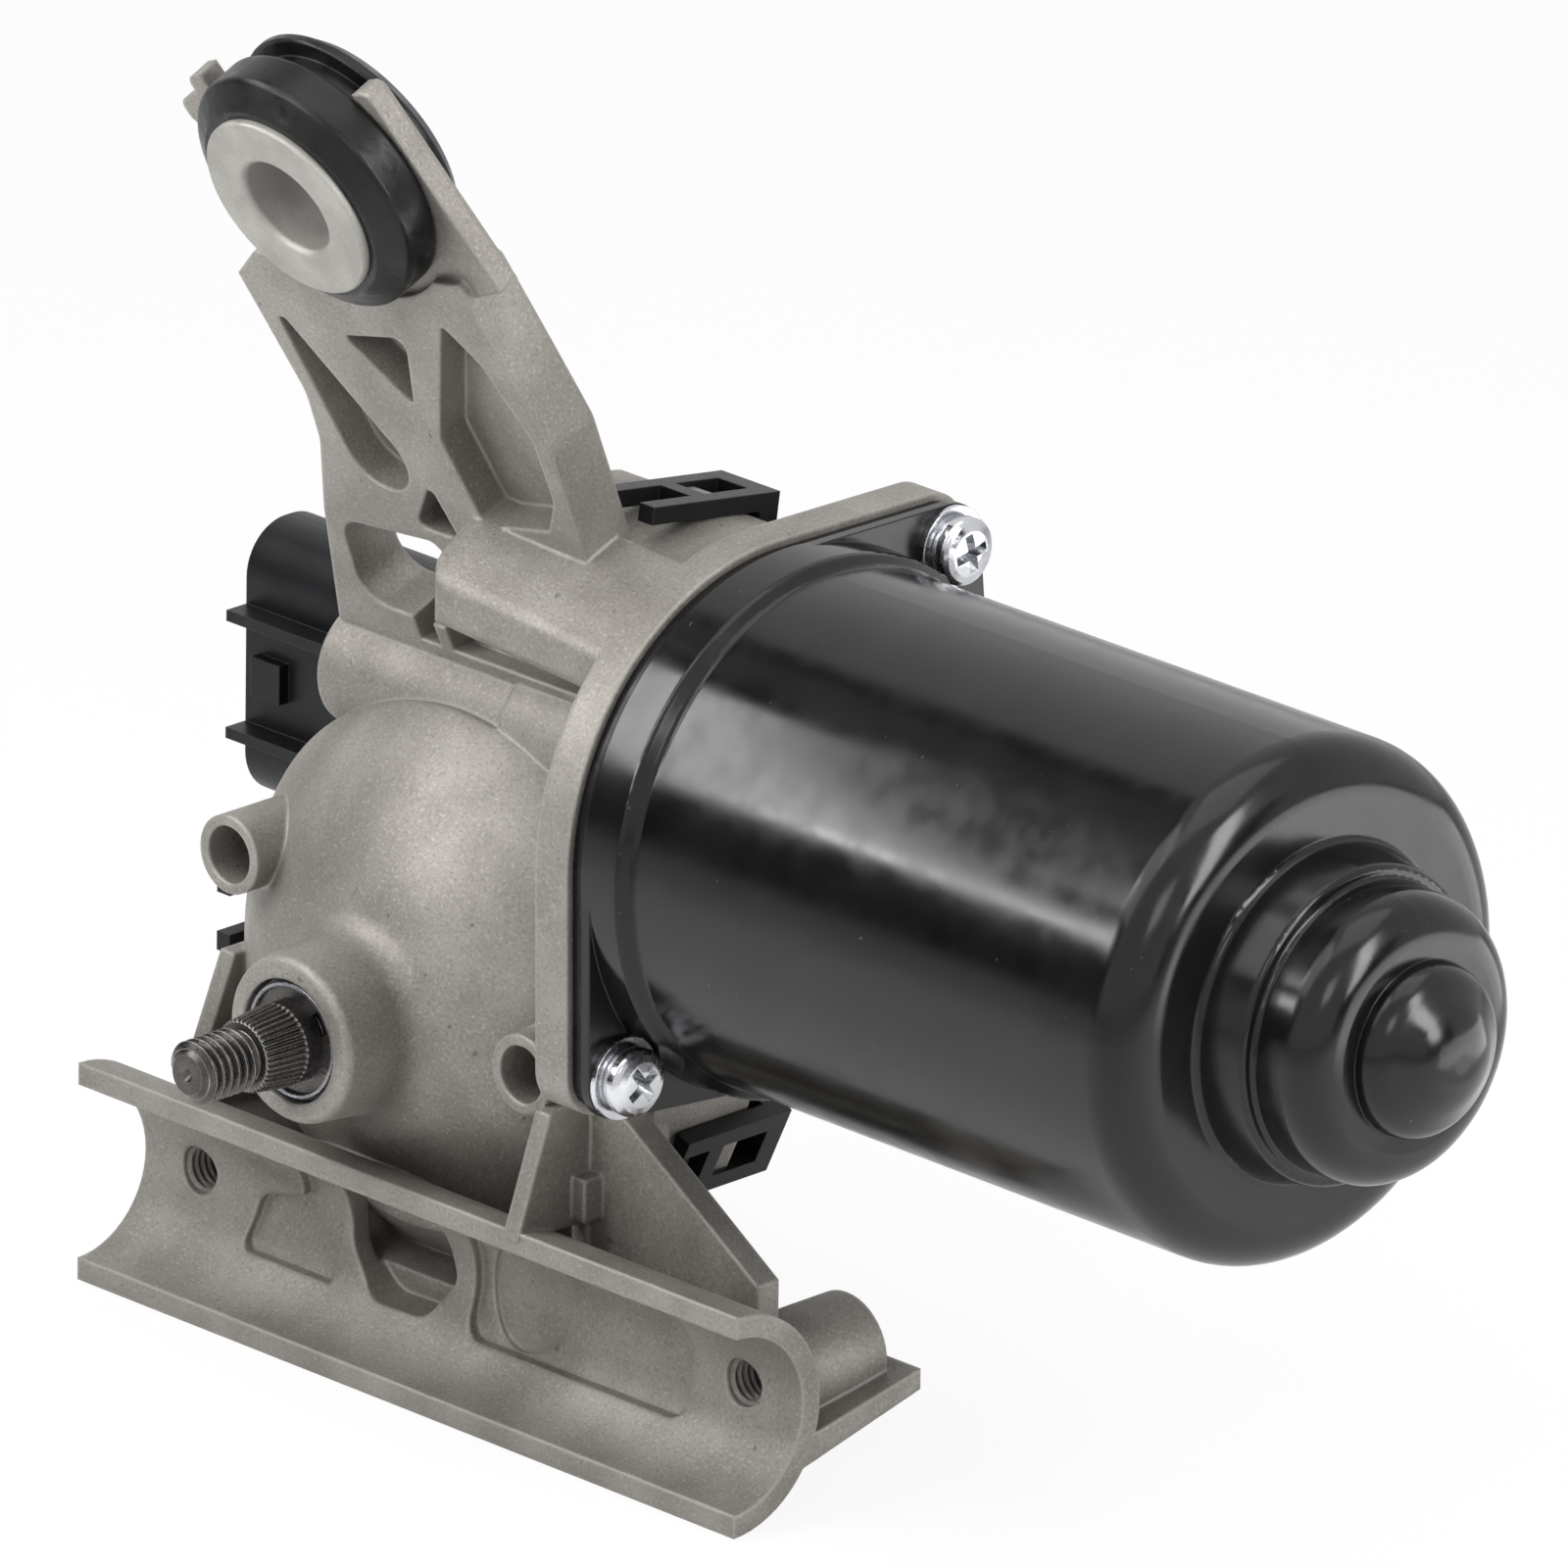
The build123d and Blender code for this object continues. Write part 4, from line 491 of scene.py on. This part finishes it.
def as_piece(name, mesh, finish, body="root"):
    piece = show(bpy.data.objects.new(name, mesh))
    mesh.materials.clear()
    mesh.materials.append(finishes[finish])
    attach(piece, body)
    return piece


def joined_piece(name, meshes, finish, body="root"):
    bm = bmesh.new()
    for mesh in meshes:
        bm.from_mesh(mesh)
    for face in bm.faces:
        face.material_index = 0
    return as_piece(name, as_mesh(name, bm), finish, body)


def triangles(piece):
    return sum(len(face.vertices) - 2 for face in piece.data.polygons)


# %% [markdown]
# The output shaft is the part that a mechanic sees first. Behind its rolled M8 thread is a
# taper with fine straight knurls, which bite into the crank arm. The whole shaft is turned in
# one piece, and the knurls are a ripple on the radius of the tapered rows.

# %% Output shaft with knurled taper and rolled thread
KNURLS, KNURL_DEPTH, KNURL_START, KNURL_END = 40, 0.42, 37.2, 43.0
STEPS_PER_KNURL, THREAD_START = 6, 43.9
shaft_rows = [
    (0.3, -6.2), (4.4, -6.2), (5.0, -5.6), (5.0, 33.65), (4.3, 33.7), (4.3, 34.7), (5.0, 34.75),
    (5.0, 36.9)]
taper_rows = [
    (5.0, 37.0), (5.12, 37.3), (5.05, 38.2), (4.95, 39.2), (4.8, 40.6), (4.65, 42.0), (4.5, 42.9),
    (4.2, 43.1)]
thread_rows = [
    (3.3, 43.3), (3.2, 43.9), (3.2, 50.6), (3.15, 51.4), (2.5, 52.0), (0.9, 52.0), (0.6, 51.8),
    (0.1, 51.3)]


def along_output(depth_mm):
    return Matrix.Translation(OUTPUT_AXIS - mm(0.0, depth_mm, 0.0)) @ FRONT


def knurl(angle, height):
    if not KNURL_START < height < KNURL_END:
        return 0.0
    wave = abs(((angle * KNURLS / (2 * pi)) % 1.0) * 2 - 1)
    return -KNURL_DEPTH * wave


bm = bmesh.new()
turned_rod(bm, shaft_rows + taper_rows + thread_rows, KNURLS * STEPS_PER_KNURL,
           along_output(0.0), knurl)
core = as_mesh("shaft_core", bm)
ridge = thread(along_output(THREAD_START), "phosphated_steel", turns=6.0,
               radius=3.1, pitch=1.25, foot=1.2, crest=0.25, depth=0.85)
shaft = joined_piece("output_shaft_detailed", [core, ridge], "phosphated_steel", "output")
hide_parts("output_shaft")
print("shaft triangles", triangles(shaft))

# %% [markdown]
# Two pan head screws hold the can. A head has a straight side that a press leaves, a low dome
# and a cross recess. The recess is cut the way the punch makes it: two tapered wedges, crossed,
# are sunk into the dome, and a Boolean modifier takes them away.

# %% Head with a cross recess
HEAD_ROWS = [
    (0.4, 0.75), (3.9, 0.75), (4.2, 0.9), (4.2, 1.9), (4.05, 2.25), (3.6, 2.6), (2.8, 2.9),
    (1.6, 3.05), (0.1, 3.1)]
HEAD_STEPS = 64
# Half length, half width and height of a wedge, at its top and at its foot.
WEDGE_ENDS = ((2.7, 0.62, 3.2), (0.9, 0.34, 1.3))


def recess_wedge(turn):
    bm = bmesh.new()
    spin = Matrix.Rotation(turn, 4, "Z")
    rows = []
    for length, width, height in WEDGE_ENDS:
        corners = ((-length, -width), (length, -width), (length, width), (-length, width))
        points = [Vector((x * MM, y * MM, height * MM)) for x, y in corners]
        rows.append([bm.verts.new(spin @ point) for point in points])
    bm.faces.new(rows[0])
    bm.faces.new(list(reversed(rows[1])))
    bridge(bm, rows[1], rows[0])
    return as_mesh("recess_wedge", bm)


def cut_away(mesh, tools):
    body = show(bpy.data.objects.new("cut", mesh))
    helpers = [body]
    for tool in tools:
        cutter = show(bpy.data.objects.new("tool", tool))
        helpers.append(cutter)
        step = body.modifiers.new("cut", "BOOLEAN")
        step.operation, step.solver, step.object = "DIFFERENCE", "EXACT", cutter
    depsgraph = bpy.context.evaluated_depsgraph_get()
    made = bpy.data.meshes.new_from_object(body.evaluated_get(depsgraph))
    for helper in helpers:
        bpy.data.objects.remove(helper)
    return made


bm = bmesh.new()
turned_rod(bm, HEAD_ROWS, HEAD_STEPS, Matrix.Identity(4))
head = cut_away(as_mesh("plain_head", bm), [recess_wedge(turn) for turn in (0.0, pi / 2)])
print("head has", len(head.polygons), "faces")

# %% [markdown]
# Under each head sits a washer, and behind it a shank with a rolled M5 thread. The two screws
# stop at different angles, as screws do. Both are one piece, since one CAD node holds both.

# %% Both screws in place
WASHER_ROWS = [(2.5, 0.0), (3.75, 0.0), (3.9, 0.12), (3.9, 0.58), (3.75, 0.7), (2.5, 0.7)]
SHANK_ROWS = [
    (0.2, -9.0), (1.6, -9.0), (2.0, -8.6), (2.0, -0.6), (2.3, 0.1), (2.3, 0.9), (0.2, 0.9)]
SHANK_STEPS = 32
WASHER_X, SHANK_THREAD_START = 4.2, -8.4
HEAD_TURNS = (radians(35.0), radians(12.0))
screw_meshes = []
for middle_of_hole, turn in zip(SCREWS, HEAD_TURNS):
    where = Matrix.Translation(middle_of_hole + mm(WASHER_X, 0, 0)) @ ALONG_X
    one = head.copy()
    one.transform(where @ Matrix.Rotation(turn, 4, "Z"))
    bm = bmesh.new()
    turned_ring(bm, WASHER_ROWS, HEAD_STEPS, where)
    turned_rod(bm, SHANK_ROWS, SHANK_STEPS, where)
    screw_meshes += [one, as_mesh("washer_and_shank", bm)]
    start = where @ Matrix.Translation((0, 0, SHANK_THREAD_START * MM))
    screw_meshes.append(thread(start, "zinc_steel", turns=9.0,
                               radius=1.95, pitch=0.8, foot=0.75, crest=0.12, depth=0.44))
screws = joined_piece("cross_recess_screws", screw_meshes, "zinc_steel")
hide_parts("can_screws")
print("screw triangles", triangles(screws))

# %% [markdown]
# The saddle's two holes are tapped M6, and the thread shows from the front. It is the same helix
# as on the shaft, turned inside out: the ridge grows inward from the wall of the hole.

# %% Tapped threads in the saddle's holes
TAPPED_X = (-46.5, 46.2)
TAPPED_Y = 11.4
ridges = []
for x_mm in TAPPED_X:
    where = Matrix.Translation(mm(x_mm, TAPPED_Y, 0.0)) @ ALONG_Y
    ridges.append(thread(where, "cast_aluminium", turns=13.0,
                         radius=3.05, pitch=1.0, foot=0.95, crest=0.15, depth=-0.55))
tapped = joined_piece("tapped_threads", ridges, "cast_aluminium")
print("tapped triangles", triangles(tapped))

# %% [markdown]
# The front bush ends in a rolled steel rim that shows as a bright ring inside the boss. It keeps
# the soft bronze from being pushed out, and it is the one clean, shiny edge in the dark mouth.

# %% Steel rim of the front bush
RIM_ROWS = [(6.55, 33.5), (6.55, 35.05), (6.7, 35.25), (7.1, 35.25), (7.25, 35.05), (7.25, 33.5)]
RIM_STEPS = 72
bm = bmesh.new()
turned_ring(bm, RIM_ROWS, RIM_STEPS, along_output(0.0))
rim = as_piece("bush_rim", as_mesh("bush_rim", bm), "spring_steel")
print("rim box in mm", [round(v / MM, 1) for v in rim.dimensions])

# %% [markdown]
# Glossy black paint shows its surroundings more than its own colour, so the light is built for
# it. A lamp shows in the can as a highlight of its own shape. So every lamp is a rectangle of a
# chosen size, turned to face a target. A strip is one that is given by the two ends of its long
# side.

# %% Rectangular lamps
middle = Vector((0.01, 0.02, 0.05))
CAN_CENTRE = MOTOR_AXIS + Vector((0.04, 0.0, 0.0))
STREAK_MIDDLE, STREAK_END = (40.0, -15.0, 10.0), (84.0, -28.0, 14.0)


def at_motor(x, y, z):
    return MOTOR_AXIS + mm(x, y, z)


def towards(x, y, z, distance):
    return CAN_CENTRE + Vector((x, y, z)).normalized() * distance


def facing(where, target):
    return Matrix.Translation(where) @ (where - target).to_track_quat("Z", "Y").to_matrix().to_4x4()


def lamp(name, placement, wide, high, watts):
    light = bpy.data.lights.new(name, "AREA")
    light.shape, light.size, light.size_y, light.energy = "RECTANGLE", wide, high, watts
    show(bpy.data.objects.new(name, light)).matrix_world = placement


def soft_box(name, where, wide, high, watts, target=middle):
    lamp(name, facing(where, target), wide, high, watts)


def strip(name, start_mm, end_mm, wide_mm, watts, aim_mm=STREAK_MIDDLE):
    a, b = at_motor(*start_mm), at_motor(*end_mm)
    away = ((a + b) / 2 - at_motor(*aim_mm)).normalized()
    along = (b - a - (b - a).dot(away) * away).normalized()
    turn = Matrix((along, away.cross(along), away)).transposed().to_4x4()
    lamp(name, Matrix.Translation((a + b) / 2) @ turn, (b - a).length, wide_mm * MM, watts)


print("lamps face", [round(v, 3) for v in middle], "unless they name a target")

# %% [markdown]
# The key box stands high on the left and lights the castings. Three strips on the same side
# draw the long streak on the can: one bright at the flange, one thin along its foot, and one
# where it ends near the shoulder. A dim panel above them gives the cloudy sheen over it. Three
# small lamps put the highlights on the shoulder, the boss and the dome. Two large boxes, one
# just above the camera's line and one overhead, fill in softly.

# %% Lamps for the castings and for the can
soft_box("key", towards(-0.33, -0.55, 0.77, 0.9), 0.45, 0.6, 2.4)
soft_box("panel", towards(-0.66, -0.28, 0.69, 0.9), 0.40, 0.30, 0.12)
strip("near_end", (-240, -115, 262), (-158, -240, 104), 52, 0.40)
strip("foot", (-166, -226, 112), (-134, -255, 124), 15, 0.030)
strip("far_end", (-125, -252, 126), (-70, -264, 132), 40, 0.13, STREAK_END)
soft_box("boss_glint", at_motor(-62, -168, 170), 0.02, 0.06, 0.04, at_motor(100, -13, 8))
soft_box("window", at_motor(485, 40, 240), 0.12, 0.36, 1.7, at_motor(111, -5, 6))
soft_box("low_back", at_motor(205, 116, -25), 0.22, 0.06, 0.12, at_motor(90, 0, 0))
soft_box("front", middle + 0.12 * right + 0.30 * up + 1.3 * back, 0.35, 0.35, 1.6)
soft_box("top", middle + Vector((0.1, 0.1, 1.2)), 0.9, 0.9, 3.5)
print("lamps", len(bpy.data.lights))

# %% [markdown]
# White surroundings would turn the can grey, so two black cards stand where it would mirror
# them. Only reflections see the cards: they take no light from the object and cast no shadow.

# %% Black cards
SQUARE = ((-1, -1), (1, -1), (1, 1), (-1, 1))


def black_card(name, where, wide, high):
    mesh = bpy.data.meshes.new(name)
    corners = [(x * wide / 2, y * high / 2, 0.0) for x, y in SQUARE]
    mesh.from_pydata(corners, [], [(0, 1, 2, 3)])
    card = show(bpy.data.objects.new(name, mesh))
    card.matrix_world = facing(where, middle)
    material = bpy.data.materials.new(name)
    material.use_nodes = True
    shader = material.node_tree.nodes["Principled BSDF"]
    shader.inputs["Base Color"].default_value = linear("101010")
    mesh.materials.append(material)
    card.visible_camera = card.visible_diffuse = False
    card.visible_shadow = card.visible_transmission = False
    card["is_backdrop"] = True


black_card("card_left", towards(-0.66, -0.50, 0.42, 1.5), 1.8, 2.0)
black_card("card_right", middle + 1.2 * right - 0.1 * up + 0.8 * back, 0.9, 0.8)

# %% [markdown]
# The world is white to the camera and in reflections, as a photographer's white sweep is. As a
# light on dull surfaces it is dimmer, so that the lamps still shape the castings. The Light
# Path node tells the two apart.

# %% White surroundings
WORLD_LIGHT = 0.48
world = bpy.data.worlds.new("studio")
world.use_nodes = True
tree = world.node_tree
tree.nodes.clear()
ray = add(tree, "ShaderNodeLightPath").outputs
seen = add(tree, "ShaderNodeMath", {
    0: ray["Is Camera Ray"], 1: ray["Is Transmission Ray"]}, operation="MAXIMUM")
mirrored = add(tree, "ShaderNodeMath", {
    0: seen.outputs[0], 1: ray["Is Glossy Ray"]}, operation="MAXIMUM")
dim = add(tree, "ShaderNodeBackground", {"Color": linear("F4F5F7"), "Strength": WORLD_LIGHT})
white = add(tree, "ShaderNodeBackground", {"Color": (1.0, 1.0, 1.0, 1.0), "Strength": 1.0})
both = add(tree, "ShaderNodeMixShader", {
    0: mirrored.outputs[0], 1: dim.outputs[0], 2: white.outputs[0]})
add(tree, "ShaderNodeOutputWorld", {"Surface": both.outputs[0]})
bpy.context.scene.world = world
print("world lights at", WORLD_LIGHT)

# %% [markdown]
# The floor is plain and pale, just under the saddle's lowest edge. The camera sees it nearly
# white, and a tenth of its real shade is left, so that the shadow still shows.

# %% Floor
FLOOR_GAP, FLOOR_REACH, WHITE_SHARE = 0.0002, 3.0, 0.9
low_z = cad_box[0][2] - FLOOR_GAP
corners = [(x * FLOOR_REACH, y * FLOOR_REACH, low_z) for x, y in SQUARE]
floor_mesh = bpy.data.meshes.new("floor")
floor_mesh.from_pydata(corners, [], [(0, 1, 2, 3)])
floor = show(bpy.data.objects.new("floor", floor_mesh))
material = bpy.data.materials.new("pale_floor")
material.use_nodes = True
tree = material.node_tree
shader = tree.nodes["Principled BSDF"]
shader.inputs["Base Color"].default_value = linear("F2F2F2")
shader.inputs["Roughness"].default_value = 0.8
ray = add(tree, "ShaderNodeLightPath").outputs
glow = add(tree, "ShaderNodeEmission", {"Color": (1.0, 1.0, 1.0, 1.0), "Strength": 1.0})
seen = add(tree, "ShaderNodeMath", {0: ray["Is Camera Ray"], 1: WHITE_SHARE}, operation="MULTIPLY")
both = add(tree, "ShaderNodeMixShader", {
    0: seen.outputs[0], 1: shader.outputs[0], 2: glow.outputs[0]})
tree.links.new(both.outputs[0], tree.nodes["Material Output"].inputs["Surface"])
floor_mesh.materials.append(material)
floor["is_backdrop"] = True
print("floor at", round(low_z / MM, 1), "mm")

# %% [markdown]
# Last, the box of the dressed model is set against the box of the CAD model, and the growth
# of each corner is printed. The two should agree within a few millimetres if nothing was moved
# or swollen.

# %% Compare the boxes and finish
model_box = [list(corner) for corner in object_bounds()]
growth = [m - c for a, b in zip(cad_box, model_box) for c, m in zip(a, b)]
print("box grows by mm", [round(v / MM, 2) for v in growth])
